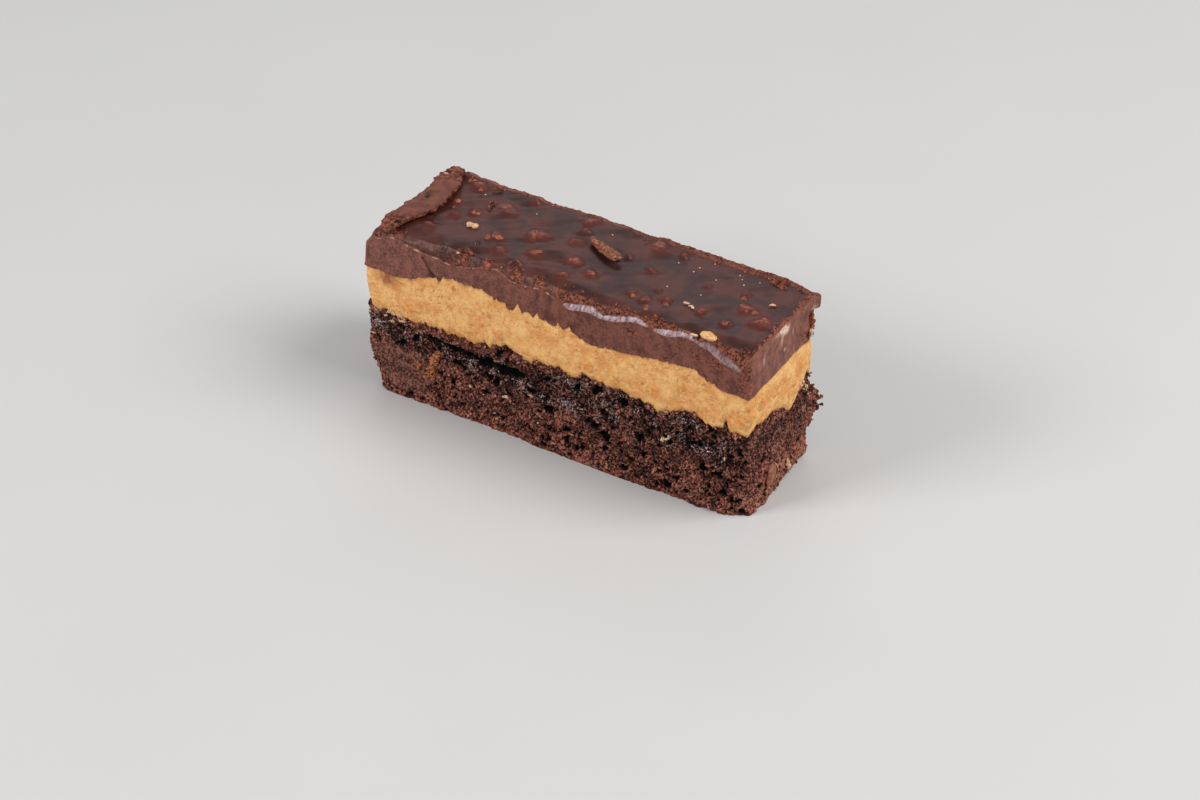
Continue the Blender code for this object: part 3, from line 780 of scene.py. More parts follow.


# %% [markdown]
# Crumb has no shine where it is dry, and its colour swings from a reddish brown on the thin walls to nearly
# black in the pores, a painted shade. The moist band is darker, and its wet walls glint: a coat of gloss comes
# and goes in fine spots, and the same spots are lightened with a painted highlight. Grain far finer than the
# mesh is left to a bump.


# %% Brownie material
def brownie_material():
    """The crumb's material: dry, close, pressed and wet crumb by their shares, then stains, painted shade in
    holes and pores, and glint spots that are partly a painted highlight and partly a coat of gloss.
    """
    surface = Surface("brownie_crumb", Specular_IOR_Level=0.12, Coat_Roughness=0.14, Coat_IOR=1.6)
    noise, mix, cells = surface.noise, surface.mix, surface.cells
    names = ("hollow", "smooth", "moist", "close", "tone", "foot")
    hollow, smooth, moist, close, tone, foot = (surface.value(name) for name in names)
    grain = noise(0.55, 2.5, 0.55)
    blotch = noise(2.6, 3.0, 0.6)
    level = (grain * 0.6 + blotch * 0.25 + noise(6.0, 2.0) * 0.15).between(0.4, 0.61) * 0.8 + tone * 0.4
    dry_stops = [(0.0, colour(30, 15, 13)), (0.4, colour(122, 68, 56)), (0.75, colour(188, 116, 97)),
                 (1.0, colour(240, 174, 150))]
    wet_stops = [(0.0, colour(10, 6, 6)), (0.4, colour(58, 31, 26)), (0.75, colour(146, 91, 77)),
                 (1.0, colour(214, 158, 138))]
    dry, wet = (surface.add("ShaderNodeValToRGB", {"stops": stops}, {0: level})
                for stops in (dry_stops, wet_stops))
    # Greyish patches: partly a greyer crumb, partly a painted sheen of moist crumb.
    grey = noise(1.5, 2.0).between(0.46, 0.58)
    dry = mix(grey * 0.45, dry, mix(grain.between(0.4, 0.6), colour(66, 50, 46), colour(134, 106, 96)))
    closed = (grain * 0.45 + blotch * 0.3 + noise(5.0, 2.0) * 0.25).between(0.42, 0.58)
    closed = mix(closed, colour(54, 29, 24), colour(190, 121, 101))
    closed = mix(surface.along(2).between(13 * MM, 3 * MM) * grain.between(0.36, 0.6) * 0.7, closed,
                 colour(206, 136, 114))
    dry = mix(close * 0.75, dry, closed)
    pressed = mix((grain * 0.6 + blotch * 0.4).between(0.38, 0.58), colour(66, 39, 33), colour(148, 98, 84))
    dry = mix(smooth * 0.85, dry, pressed)
    base = mix(moist * (0.92 - close * 0.5), dry, wet)
    base = mix(foot * noise(1.2, 4.0, 0.65).between(0.44, 0.6) * 0.6, base, colour(150, 74, 50))
    smear = surface.value("smear").between(0.3, 0.55)
    base = mix(smear * 0.9, base, mix(grain.between(0.35, 0.6), colour(120, 62, 40), colour(214, 138, 96)))
    # Small black pores finer than the mesh: painted shade.
    some = noise(1.3, 2.0).between(0.44, 0.5)
    holes = cells(0.95).between(0.3, 0.16) * some
    holes = holes + cells(0.55).between(0.3, 0.16) * (1 - some * 0.5) * (1 - close * 0.7)
    base = mix(holes * (0.92 - smooth * 0.3) * (1 - tone), base, colour(7, 4, 4))
    # Painted shade in the deep pores and along the crevice, read through the attribute hollow.
    base = mix((hollow * 1.2) ** 1.4, base, colour(5, 3, 3))
    # Glint spots: a painted highlight in the base colour, together with a real coat of gloss and lower
    # roughness.
    glints_painted_and_coated = noise(0.45, 2.0).between(0.55, 0.61) * noise(3.5, 2.0).between(0.47, 0.6) * (1 - hollow)
    base = mix(glints_painted_and_coated * moist.between(0.4, 1.0) * (1 - close) * 0.85, base, colour(206, 188, 186))
    rough = 0.9 - 0.2 * glints_painted_and_coated
    normal = surface.bump(noise(0.8, 5.0, 0.65) + grain * 0.5 - holes * 0.4, 0.5, 1.0)
    return surface.done(Base_Color=base, Roughness=rough, Coat_Weight=(moist * 0.95 + 0.05) * glints_painted_and_coated,
                        Normal=normal)


BROWNIE = brownie_material()
brownie_body(BROWNIE)

# %% [markdown]
# ## The peanut butter cream
#
# The cream is soft enough for the knife to smear: a nearly flat face with small pits where air bubbles were
# cut, short level drag marks, and chips of nut that push it out in low lumps. The same kind of grid serves,
# with far gentler relief. Near the left end, chocolate is smeared down over it.

# %% The cream's body
CREAM_CHIPS = (
    (-14.6, -14.6, 25.7, 1.3), (26.2, -14.6, 25.8, 1.4), (16.6, -14.6, 25.0, 1.1), (48.4, -14.2, 26.0, 1.7),
    (9.8, -14.6, 26.6, 1.3), (-38.0, -14.6, 24.6, 0.9), (50.0, -9.3, 29.2, 1.2), (50.0, 5.0, 25.2, 1.2))


def cream_relief(place):
    """How far the cream stands out, how pitted it is, how near a chip of nut it lies, and the seams of its
    chunks: the chunks are cells of a strewn pattern, and a seam runs where two are about equally near."""
    bubbles = pits(place, 1.7, (0.14, 0.42), 0.22, salt=40)
    marks = 0.15 * craggy(place * (0.8, 0.8, 1.2), 1.3, 4, salt=41) + 0.2 * drift(place, 5.0, salt=42)
    nearest, second, number = strewn(place + 0.5 * drift(place, 1.0, salt=44)[..., None], 2.3, salt=45)
    chunks = (0.5 - nearest) * 0.45 * (number > 0.4) * (0.5 + ease(place[..., 0], -10, 30))
    chip = sum(np.exp(-((np.array(place) - np.array(at[:3])) ** 2).sum(-1) / at[3] ** 2)
               for at in CREAM_CHIPS)
    drags = 0.12 * craggy(place * (1.6, 1.6, 0.5), 1.6, 3, salt=43) * ease(place[..., 2], 30.5, 34.0)
    edge = ease(0.14 - (second - nearest), 0, 0.1) * ease(number, 0.4, 0.6)
    return (marks + drags + chunks - 0.8 * bubbles + 0.5 * chip, np.clip(bubbles / 0.25, 0, 1),
            np.clip(chip, 0, 1), edge)


def cream_body(material):
    """The cream: a gently bellied wall between its two lines, closed above and below."""
    place = wall(CREAM_ROWS, BROWNIE_LINE, CREAM_LINE)
    share = np.linspace(0, 1, CREAM_ROWS)[:, None]
    relief, pitted, chip, seam = cream_relief(place)
    belly = 0.28 * np.sin(np.pi * share)
    far_corner = (0.9 - 0.6 * SHARP) * ease(place[..., 0], 30, 48) * ease(place[..., 1], 10, 14)
    tuck = -0.25 * (1 - ease(share, 0.0, 0.12))
    stand_out = relief * np.sin(np.pi * share) ** 0.25 + belly + tuck - far_corner
    points = bend(place) + stand_out[..., None] * outwards()
    x, z = place[..., 0], place[..., 2]
    below = (CREAM_LINE - z) / np.where(x < -40.5, 4.4, 1.9)
    smear = np.exp(-(((x + 44.2) / 2.3) ** 2)) + 0.7 * np.exp(-(((x + 38.2) / 0.9) ** 2))
    smear = (plan.front * np.clip(smear, 0, 1)
             * (1 - ease(below + 0.35 * drift(place * (1, 1, 0.2), 0.9, salt=46), 0.4, 1.0)))
    shell = Shell()
    values = {"pitted": pitted, "chip": chip, "smear": smear, "seam": seam, "height": share}
    numbers = shell.add(points, **values)
    shell.strips(numbers)
    close_level(shell, numbers[-1], CREAM_LINE, CREAM_TOP, True)
    close_level(shell, numbers[0], BROWNIE_LINE, BROWNIE_TOP, False)
    return finished("peanut_cream_body", shell, material, "peanut_layer")


# %% [markdown]
# Set peanut butter is waxy: light goes a little way in and comes out warmer. Its colour is blotched by clouds
# and streaks, speckled with ground skin, and orange at the chips of nut. Where chocolate lies over it, it is
# stained brown.


# %% Cream material
def cream_material():
    """The cream's material: clouds, streaks, grain and specks, then seams, chips of nut, smears, and painted
    shade in pits.
    """
    surface = Surface("peanut_cream", Roughness=0.55, Specular_IOR_Level=0.4, Subsurface_Weight=0.12)
    noise, mix, cells = surface.noise, surface.mix, surface.cells
    surface.shader.inputs["Subsurface Radius"].default_value = (1.0, 0.5, 0.2)
    surface.shader.inputs["Subsurface Scale"].default_value = 1.2 * MM
    cloud = noise(4.0, 5.0, 0.65)
    streak = noise(1.2, 5.0, 0.65, place=surface.stretched((0.8, 0.8, 1.25)))
    base = mix(cloud.between(0.36, 0.64), colour(232, 157, 83), colour(255, 198, 125))
    base = mix(streak.between(0.52, 0.68) * 0.36, base, colour(200, 128, 62))
    base = mix(streak.between(0.44, 0.34) * 0.36, base, colour(255, 218, 156))
    grain = noise(0.42, 3.0, 0.6)
    base = mix(grain.between(0.46, 0.36) * 0.24, base, colour(196, 118, 54))
    base = mix(grain.between(0.54, 0.64) * 0.32, base, colour(255, 226, 166))
    specks = cells(1.1, place=surface.stretched((0.7, 0.7, 1.3))).between(0.17, 0.08)
    base = mix(specks * noise(2.0, 1.0).between(0.48, 0.58) * 0.8, base, colour(152, 82, 38))
    base = mix(surface.value("seam") * noise(1.2, 2.0).between(0.45, 0.6) * 0.7, base, colour(186, 112, 52))
    chip = surface.value("chip") * (noise(0.9, 4.0, 0.65) * 4.0 - 1.1)
    base = mix(chip.between(0.35, 0.9) * 0.75, base, colour(226, 130, 44))
    base = mix(chip.between(0.15, 0.3) * chip.between(0.5, 0.35) * cloud.between(0.46, 0.56) * 0.6, base,
               colour(172, 98, 46))
    smear = surface.value("smear") * noise(1.6, 4.0, 0.65).between(0.3, 0.5)
    base = mix(smear * 0.95, base, colour(158, 84, 52))
    height = surface.value("height") + 0.05 * streak
    base = mix(height.between(0.95, 1.03) * 0.5, base, colour(150, 86, 50))
    # Darker in the bubble pits: painted shade.
    base = mix(surface.value("pitted") * 0.7, base, colour(164, 96, 44))
    normal = surface.bump(noise(0.6, 5.0, 0.65) + grain * 0.5, 0.26, 1.0)
    rough = 0.48 + 0.25 * streak
    return surface.done(Base_Color=base, Roughness=rough, Normal=normal)


cream_body(cream_material())

# %% [markdown]
# ## The chocolate slab
#
# The slab is cut at its sides and set smooth on top. Under the skin of the top lie nuts and puffed rice,
# which lift it in soft domes. The long front edge is worn: above the flat face runs a narrow, polished
# facet, then a rough band up to the top. The body is one closed shell: wall, edge band, and a regular grid
# over the top whose border points are shared with the band.

# %% The slab's top
LUMPS = (
    (-41.0, 13.2, 1.7, 0.2), (-36.5, 10.9, 2.6, 0.1), (-37.6, 3.0, 1.6, 0.3), (-31.4, 1.4, 1.7, 0.1),
    (-26.0, 6.5, 3.4, -0.1), (-21.5, -4.7, 2.3, 0.3), (-14.0, 0.5, 3.6, 0.1), (-5.3, 2.7, 2.3, 0.4),
    (-10.3, -5.8, 2.4, 0.2), (-1.1, -3.8, 2.6, 0.5), (-0.2, -10.0, 2.4, 0.0), (4.4, -6.1, 2.2, -0.2),
    (-6.8, 11.6, 2.8, 0.5), (16.0, -7.6, 1.7, 0.2), (19.8, -8.1, 1.5, 0.6), (24.0, -5.8, 1.7, 0.0),
    (15.4, 1.9, 1.6, 0.2), (11.3, 11.2, 3.2, 0.1), (20.3, -3.5, 1.1, 0.0), (41.1, 0.0, 2.7, 0.3),
    (37.5, 4.7, 1.5, 0.9), (46.3, -2.6, 3.2, 0.2), (39.7, -7.4, 1.8, 0.1), (32.7, -6.3, 1.3, 0.4),
    (17.7, 11.6, 1.4, 0.3), (-37.0, -8.6, 1.9, 0.2), (-5.9, 7.7, 1.6, 0.9), (-17.5, -9.1, 2.0, -0.2),
    (-34.5, -2.1, 1.5, 0.0), (28.5, 3.5, 1.4, 0.3), (7.5, 4.6, 1.2, 0.0), (-22.0, 12.2, 1.6, 0.1))


def lumps(x, y):
    """Height of the lumps from 0 to 1, and of the wider ovals round them. Their tops are domes whose skirts run
    out softly; noise bends their outlines, and a finer one breaks their tops into grains."""
    place = np.stack([x, y, np.zeros_like(x)], -1)
    bent_x, bent_y = x + 0.9 * craggy(place, 3.0, 2, salt=50), y + 0.8 * craggy(place, 3.0, 2, salt=51)
    height, around = np.zeros(x.shape), np.zeros(x.shape)
    for at_x, at_y, reach, turn in LUMPS:
        along = ((bent_x - at_x) * math.cos(turn) + (bent_y - at_y) * math.sin(turn)) / (reach * 0.9 + 0.1)
        across = ((bent_y - at_y) * math.cos(turn) - (bent_x - at_x) * math.sin(turn)) / (reach * 0.7 + 0.3)
        size = min(0.5 + 0.18 * reach, 1.0)
        height = np.maximum(height, np.exp(-1.3 * (along**2 + across**2)) * size)
        around = np.maximum(around, np.exp(-0.5 * (along**2 + across**2)) * size)
    grains, _, number = strewn(place, 1.3, salt=52)
    height = height * (1 + 0.5 * number * (0.5 - grains) * ease(height, 0.3, 0.8))
    return height, around


def top(x, y):
    """Height of the slab's top: a slow dish, swells drawn out across the view, a hollow round each lump, and
    the lumps; low at the far right corner and along the front, with one small pit."""
    place = np.stack([x * 0.84 + y * 0.54, (y * 0.84 - x * 0.54) * 2.0, np.zeros_like(x)], -1)
    dish = 0.2 * np.cos(2 * np.pi * (x - 46) / 62)
    swells = ((0.28 + 0.16 * (1 - ease(x, -8, 15))) * drift(place, 9.0, salt=53)
              + 0.05 * drift(place, 4.0, salt=54))
    droop = (2.0 * ease(x, 45.5, 50) * ease(y, 11.6, 14.2) + 1.3 * ease(x, 46, 51) * ease(-y, 8, 14)
             - 0.4 * ease(x, 47.5, 50))
    height, around = lumps(x, y)
    pit = 0.9 * np.exp(-((x + 23.7) ** 2 + (y + 9.3) ** 2) / 0.25)
    left = 1 - ease(x, -6, 3)
    rim = ((0.6 + 0.15 * left + 0.35 * drift(place, 5.0, salt=49))
           * (1 - ease(y + HALF_WIDTH, 0.6, 4.0 + left)))
    return SLAB_TOP + dish + swells - 0.22 * around + 1.1 * height - droop - pit - rim


# %% The slab's front edge and walls
FACETS = ((2.8, 14.6, 1.0), (12.0, 25.4, 0.85), (25.6, 38.0, 0.95), (36.8, 48.6, 1.2))
CREST_DENTS = (
    (-48.0, -0.5, 2.0), (4.6, -0.8, 1.8), (9.8, 0.4, 1.6), (16.0, -0.1, 1.9), (21.3, 0.0, 1.8),
    (32.8, 0.4, 2.5), (44.2, -1.0, 3.0), (48.0, -1.3, 2.2), (37.5, -0.4, 1.6), (-14.9, 0.5, 2.0),
    (-27.5, -0.5, 2.5), (-43.4, 0.6, 2.5))
FACET_SLOPE, PLAIN_DROP, EDGE_INSET = 0.85, 0.55, 1.34
WORN_SPOTS = ((-47.5, 1.5), (-43.5, 1.6), (-24.5, 1.8), (-17.5, 1.2), (-10.0, 2.2), (-3.5, 1.6))


def crest_line(x):
    """Height of the worn crest along the front: waves, a few dents, and a ragged noise."""
    place = np.stack([x, np.zeros_like(x), np.zeros_like(x)], -1)
    dents = sum(height * np.exp(-(((x - at) / reach) ** 2)) for at, height, reach in CREST_DENTS)
    return CREST + waves(x, -HALF_WIDTH, CREST_WAVES) + dents + 0.12 * craggy(place, 1.6, 3, salt=57)


def facet_width(x):
    """How far the polished facet runs in from the crest: a flat-topped hump for each facet."""
    place = np.stack([x, np.zeros_like(x), np.zeros_like(x)], -1)
    ragged = 1 + 0.2 * craggy(place, 2.6, 5, salt=58)
    humps = [width * ease(x, low - 0.4, low + 2.6) ** 0.7 * (1 - ease(x, high - 4.5, high + 0.5)) ** 0.7
             for low, high, width in FACETS]
    return np.maximum.reduce(humps) * ragged


def worn(x):
    """Share of rough, crumbling edge: the whole right half of the front, and single spots on the left."""
    spots = sum(0.7 * np.exp(-(((x - at) / reach) ** 2)) for at, reach in WORN_SPOTS)
    return np.clip(0.3 + 0.7 * ease(x, -3, 4) + spots, 0, 1)


def edge_band(rows):
    """Points between the wall's crest and the inner rectangle, rows by columns, with the share of the polished
    facet, which also carries its painted reflection, and of rough, scraped chocolate. At the front: from a small
    lip up the facet, then steeply up a rough band. At the other sides: a small round with a thin burr on it."""
    outline = plan.ring(0.0)
    x, front = outline[:, 0], plan.front
    high = top(*plan.ring(-EDGE_INSET).T)
    low = (1 - front) * (high - PLAIN_DROP) + front * np.minimum(crest_line(x), high - 0.5)
    share = np.linspace(0, 1, rows)[:, None]
    facet = np.minimum(np.maximum(facet_width(x), 0.12), 0.75 * (high - low))
    up_facet = np.clip(share / 0.5, 0, 1)
    up_band = np.clip((share - 0.5) / 0.5, 0, 1)
    front_inset = (-0.25 * (1 - ease(up_facet, 0, 0.25)) + facet * up_facet
                   + (EDGE_INSET - facet) * up_band**1.4)
    front_z = low + (facet * up_facet) / FACET_SLOPE + (high - low - facet / FACET_SLOPE) * up_band**0.8
    plain_inset = EDGE_INSET * share**1.6
    burr = 0.22 * np.exp(-(((share - 0.55) / 0.16) ** 2)) * (plan.back + 0.35 * plan.right)
    raised = 0.9 * plan.back * ease(x, 5, 22) * (1 - ease(x, 43, 47)) * np.exp(-(((share - 0.3) / 0.3) ** 2))
    plain_z = low + (high - low) * ease(share, -0.1, 0.3) + burr + raised
    inset = front * front_inset + (1 - front) * plain_inset
    z = front * front_z + (1 - front) * plain_z
    place = np.stack([np.broadcast_to(outline[:, 0], z.shape), np.broadcast_to(outline[:, 1], z.shape), z],
                     -1)
    frayed = 0.06 * craggy(place, 0.9, 3, salt=14)
    # The facet's share: real low roughness, and a painted reflection in its colour.
    polish = (front * (1 - 0.4 * ease(x, 36, 39)) * ease(facet, 0.2, 0.4)
              * (1 - ease(share + frayed, 0.4, 0.5)) * ease(share, -0.02, 0.06))
    scraped = ((ease(share, 0.45, 0.55) * front * worn(x)
                + (1 - front) * (0.8 + 0.2 * plan.right) * ease(share, 0.1, 0.3)
                * (1 - ease(share, 0.5, 0.7))) * (1 - ease(share, 0.93, 1.0)))
    fade = np.clip(np.sin(np.pi * share), 0, 1) ** 0.5
    torn = 0.34 * craggy(place, 1.3, 4, salt=55) + 0.35 * sponge(place, 1.2, 0.45, salt=56) - 0.1
    inset = inset + torn * scraped * fade * (0.4 + 0.6 * front)
    z = z + 0.3 * craggy(place, 1.1, 3, salt=59) * scraped * fade
    ring = plan.centre + (CORNER - inset[..., None]) * plan.outward
    return np.concatenate([ring, z[..., None]], -1), low, polish, scraped


SPLIT_Z, SPLIT_X = (35.0, 36.7, 38.1, 39.2), (-32.0, -33.1, -33.9, -34.7)
TORN_SPOTS = ((20.4, 39.6, 1.2), (42.6, 39.0, 1.8), (36.7, 36.8, 0.5), (29.0, 35.3, 0.5), (-44.7, 36.9, 0.45))


def slab_wall_relief(place):
    """How far the cut chocolate stands out: a faint swell, fine upright drag marks on the ends, small pits,
    a split near the left of the front with a chip beside it, and a few torn places. Also how pitted and how
    torn it is, and where the chip and the front right corner are."""
    ends = plan.right + plan.left
    marks = (0.09 * drift(place, 4.5, salt=60)
             + 0.04 * craggy(place * (1.8, 1.8, 0.8), 2.0, 3, salt=61) * (0.4 + 0.7 * ends))
    holes = pits(place, 2.6, (0.12, 0.36), 0.2, salt=62)
    x, z = place[..., 0], place[..., 2]
    split_x = np.interp(z, SPLIT_Z, SPLIT_X) + 0.2 * drift(place, 0.9, salt=63)
    width = 0.2 + 0.8 * (1 - ease(z, 34.8, 36.6))
    split = (plan.front * np.exp(-(((x - split_x) / width) ** 2)) * ease(z, 33.6, 34.6)
             * (1 - ease(z, 39.0, 39.8)))
    y = place[..., 1]
    corner = np.exp(-(((np.abs(x - HALF_LENGTH) + np.abs(y + HALF_WIDTH) - 1.0) / 1.3) ** 2))
    rough_front = (plan.front * ease(x, 31, 38)
                   * ease(drift(place * (0.6, 0.6, 1.0), 1.6, salt=67), 0.1, 0.45) * ease(z, 36.5, 38))
    rough_end = (plan.right * np.maximum(ease(y, 4, 10), 0.8 * ease(z, 41.6, 43.0))
                 * ease(drift(place, 1.5, salt=68), -0.1, 0.4))
    torn = (np.maximum(np.maximum(corner, 0.8 * rough_front), rough_end)
            * ease(craggy(place, 1.6, 3, salt=69), -0.5, 0.3))
    for at_x, at_z, reach in TORN_SPOTS:
        spot = 1.7 * np.exp(-(((x - at_x) / reach) ** 2) - ((z - at_z) / (0.6 * reach)) ** 2)
        torn = np.maximum(torn, plan.front * np.clip(spot * (1 + 0.5 * craggy(place, 0.9, 3, salt=13)), 0, 1))
    ragged = torn * (0.3 - 0.3 * corner + (0.5 - 0.3 * corner) * craggy(place, 0.8, 3, salt=65))
    chip = plan.front * np.exp(-(((x - split_x + 0.55) / 0.3) ** 2) - (((z - 38.4) / 1.3) ** 2))
    return (marks - 0.8 * holes - split - ragged + 0.35 * chip, np.clip(holes / 0.2 + split, 0, 1), torn,
            chip, corner)


# %% The slab's body
PALE_SMEARS = (
    (-1.5, 43.3, 1.0, 0.8, 1.3), (-0.2, 42.6, 1.1, 1.0, 1.7), (1.1, 41.8, 0.8, 0.8, 0.9),
    (-3.2, 43.3, 1.4, 0.5, 0.45), (-0.8, 40.6, 0.5, 1.6, 0.4), (-8.6, 39.3, 0.35, 1.2, 0.45),
    (0.6, 37.0, 0.35, 0.4, 0.7), (1.8, 41.8, 0.3, 1.2, 0.3), (12.6, 41.0, 0.6, 0.6, 0.5),
    (4.5, 39.4, 0.3, 0.9, 0.3))


def slab_body(material):
    """The chocolate: wall, edge band and top in one closed shell."""
    band, low, polish, scraped = edge_band(EDGE_ROWS)
    place = wall(SLAB_ROWS, CREAM_LINE, low)
    relief, pitted, torn, chip, corner = slab_wall_relief(place)
    share = np.linspace(0, 1, SLAB_ROWS)[:, None]
    x, y, z = place[..., 0], place[..., 1], place[..., 2]
    at_corner = ease(x, 44.5, 48.6) * ease(y, 11.4, 13.2)
    ragged = 0.35 * craggy(place, 1.6, 3, salt=47)
    lip = (at_corner * (0.9 + 0.6 * SHARP * (x > 0)) * ease(z + ragged, 40.1, 40.6) - 0.25 * at_corner
           + 0.5 * SHARP)
    lip += (0.4 + 0.3 * ragged) * plan.right * ease(z, 40.0, 43.0) * (1 - at_corner)
    swell = 0.25 * plan.front * ease(share, 0.85, 1.0)
    hang = 0.2 * (1 - ease(share, 0.0, 0.08))
    stand_out = relief * np.sin(np.pi * share) ** 0.3 + swell + lip + hang
    points = bend(place) + stand_out[..., None] * outwards()
    edge_share = np.linspace(0, 1, EDGE_ROWS)[:, None]
    band = bend(band) + (lip[-1] * (1 - edge_share**1.5))[..., None] * outwards()
    streak = (plan.right * ease(drift(place * (1, 1, 0.4), 1.8, salt=64), 0.15, 0.6) * ease(z, 35, 38)
              + 2.0 * chip)
    pale = sum(share_of * np.exp(-(((y - at_y) / reach_y) ** 2) - (((z - at_z) / reach_z) ** 2))
               for at_y, at_z, reach_y, reach_z, share_of in PALE_SMEARS) * plan.right
    worn_share = worn(x[:1])
    # The rim is a thin pale line along the crest of the front and the top of the right end: a painted highlight.
    rim_share = plan.front * (1 - 0.75 * ease(x[:1], -2, 3))
    broken = 0.2 + 0.8 * ease(craggy(np.stack([x[0], 0 * x[0], 0 * x[0]], -1), 1.6, 3, salt=66), -0.2, 0.4)
    rim_share = (rim_share + 0.45 * plan.right) * broken
    rim = rim_share * ease(share + 0.02 * drift(place, 1.2, salt=16), 0.935, 0.99)
    shell = Shell()
    cut = {"cut": 1.0, "end": plan.right}
    numbers = shell.add(points, pitted=pitted, streak=streak, scraped=torn, rim=rim, pale=np.clip(pale, 0, 1),
                        corner=np.clip(corner * (plan.front + plan.right), 0, 1), **cut)
    inner = slice(1, None)
    open_share = worn_share * plan.front + (1 - plan.front) * (1 - 0.75 * plan.right)
    band_cut = 1 - ease(edge_share[inner], 0.1 + 0.65 * open_share, 0.4 + 0.6 * open_share)
    band_values = {"cut": band_cut, "end": plan.right[None, :],
                   "rim": rim_share * (1 - edge_share[inner]) ** 4}
    band_numbers = shell.add(band[inner], polish=polish[inner], scraped=scraped[inner], **band_values)
    shell.strips(np.concatenate([numbers, band_numbers]))
    x, y = np.meshgrid(np.linspace(-1, 1, plan.long_count + 1) * (HALF_LENGTH - CORNER),
                       np.linspace(-1, 1, plan.short_count + 1) * (HALF_WIDTH - CORNER), indexing="ij")
    height, around = lumps(x, y)
    grid = shell.add(bend(np.stack([x, y, top(x, y)], -1)), lump=height, halo=around)
    shell.strips(grid.T, closed=False)
    border = np.concatenate([grid[:, 0], grid[-1, 1:], grid[-2::-1, -1], grid[0, -2:0:-1]])
    shell.fit(band_numbers[-1], border[plan.inner], True)
    close_level(shell, numbers[0], CREAM_LINE, CREAM_TOP, False)
    return finished("chocolate_slab", shell, material, "chocolate_top")


# %% [markdown]
# Chocolate is almost black-brown inside and shines only where it set against air. On the top, light slips
# off the skin and lends it a grey sheen; over a lump the skin is thin and its colour turns warmer, and the
# crown of a lump is lightened with a painted highlight. The cut sides are paler and duller, with a fine grain,
# and the scraped band is reddish and broken. The polished facet is painted lilac-white as a painted
# reflection, a thin pale line along the crest is a painted highlight, and pits and the split are darkened
# with painted shade.


# %% Chocolate material
def chocolate_material():
    """The slab's material: skin, cut faces and torn chocolate, each mixed on its own, then joined, with
    painted highlight on the facet, the crest line and the lumps' crowns, and painted shade in pits.
    """
    surface = Surface("chocolate", Specular_IOR_Level=0.38)
    noise, mix, cells = surface.noise, surface.mix, surface.cells
    names = ("cut", "lump", "halo", "polish", "scraped", "pitted", "streak", "end", "rim", "pale", "corner")
    cut, lump, halo, polish, scraped, pitted, streak, end, rim, pale, corner = (
        surface.value(name) for name in names)
    cloud = noise(6.0, 3.0)
    fine = noise(0.6, 4.0, 0.65)
    dust = cells(1.1).between(0.13, 0.05) * noise(5.0, 2.0).between(0.5, 0.6)
    skin = mix(cloud.between(0.38, 0.62), colour(54, 25, 20), colour(82, 40, 31))
    skin = mix(halo.between(0.2, 0.8) * 0.7, skin, colour(88, 36, 28))
    lumpy = mix(fine.between(0.4, 0.6), colour(98, 44, 34), colour(132, 68, 52))
    skin = mix(lump.between(0.4, 0.95) * 0.85, skin, lumpy)
    # Lighter crowns of the lumps: a painted highlight.
    skin = mix(lump.between(0.7, 1.05) * fine.between(0.44, 0.6) * 0.6, skin, colour(176, 104, 82))
    skin = mix(dust * 0.6, skin, colour(140, 78, 54))
    lines = noise(3.0, 4.0, 0.65, place=surface.stretched((1.5, 1.5, 0.8)))
    flat = mix((fine * 0.45 + lines * 0.55).between(0.4, 0.6), colour(86, 42, 32), colour(132, 76, 60))
    flat = mix(surface.along(0).between(5 * MM, -42 * MM) * (0.1 + 0.2 * fine.between(0.4, 0.6)), flat,
               colour(158, 108, 96))
    mottle = noise(2.2, 5.0, 0.7, place=surface.stretched((1.0, 1.0, 0.8)))
    flat = mix(end * 0.85, flat, mix(mottle.between(0.38, 0.62), colour(108, 66, 58), colour(152, 94, 76)))
    flat = mix(streak * 0.4, flat, colour(178, 112, 86))
    dots = cells(0.9).between(0.2, 0.1)
    flat = mix(dots * fine.between(0.5, 0.56) * 0.7, flat, colour(60, 30, 25))
    flat = mix(dots * fine.between(0.48, 0.42) * 0.6, flat, colour(168, 112, 96))
    # The pale rim line along the crest: a painted highlight.
    flat = mix(rim.between(0.2, 0.9) * fine.between(0.4, 0.54), flat, colour(204, 150, 136))
    flat = mix(pale.between(0.02, 0.35) * mottle.between(0.4, 0.56) * 0.6, flat, colour(190, 116, 86))
    flat = mix(pale * noise(0.8, 3.0).between(0.3, 0.48), flat, colour(242, 210, 192))
    base = mix(cut, skin, flat)
    broken = noise(1.1, 5.0, 0.7)
    torn = mix(broken.between(0.41, 0.59), colour(54, 23, 17), colour(162, 86, 58))
    grit = mix(fine.between(0.42, 0.58), colour(46, 20, 15), colour(172, 98, 72))
    torn = mix(cut.between(0.5, 0.9) * 0.85, torn, grit)
    torn = mix(corner * 0.7, torn, mix(fine.between(0.4, 0.58), colour(54, 24, 18), colour(164, 90, 64)))
    base = mix(scraped * (0.95 - polish) * (1 - pale), base, torn)
    brushed = noise(1.2, 3.0, place=surface.stretched((2.2, 0.7, 0.7)))
    # The polished facet is painted lilac-white: a painted reflection of the front light, over its real low
    # roughness.
    base = mix(polish * (brushed.between(0.38, 0.6) * 0.55 + 0.2), base, colour(196, 176, 184))
    # Near black in pits and in the split: painted shade.
    base = mix(pitted * 0.8, base, colour(34, 15, 11))
    rough = 0.36 + 0.22 * cut + 0.2 * scraped - 0.36 * polish + 0.12 * cloud - 0.08 * lump
    normal = surface.bump(noise(1.3, 3.0), 0.06, 0.5)
    normal = surface.bump(brushed * polish, 0.04, 0.5, under=normal)
    grain = surface.bump(fine * (cut * 0.6 + scraped), 0.12, 0.8, under=normal)
    return surface.done(Base_Color=base, Roughness=rough, Normal=grain)


CHOCOLATE = chocolate_material()
slab_body(CHOCOLATE)

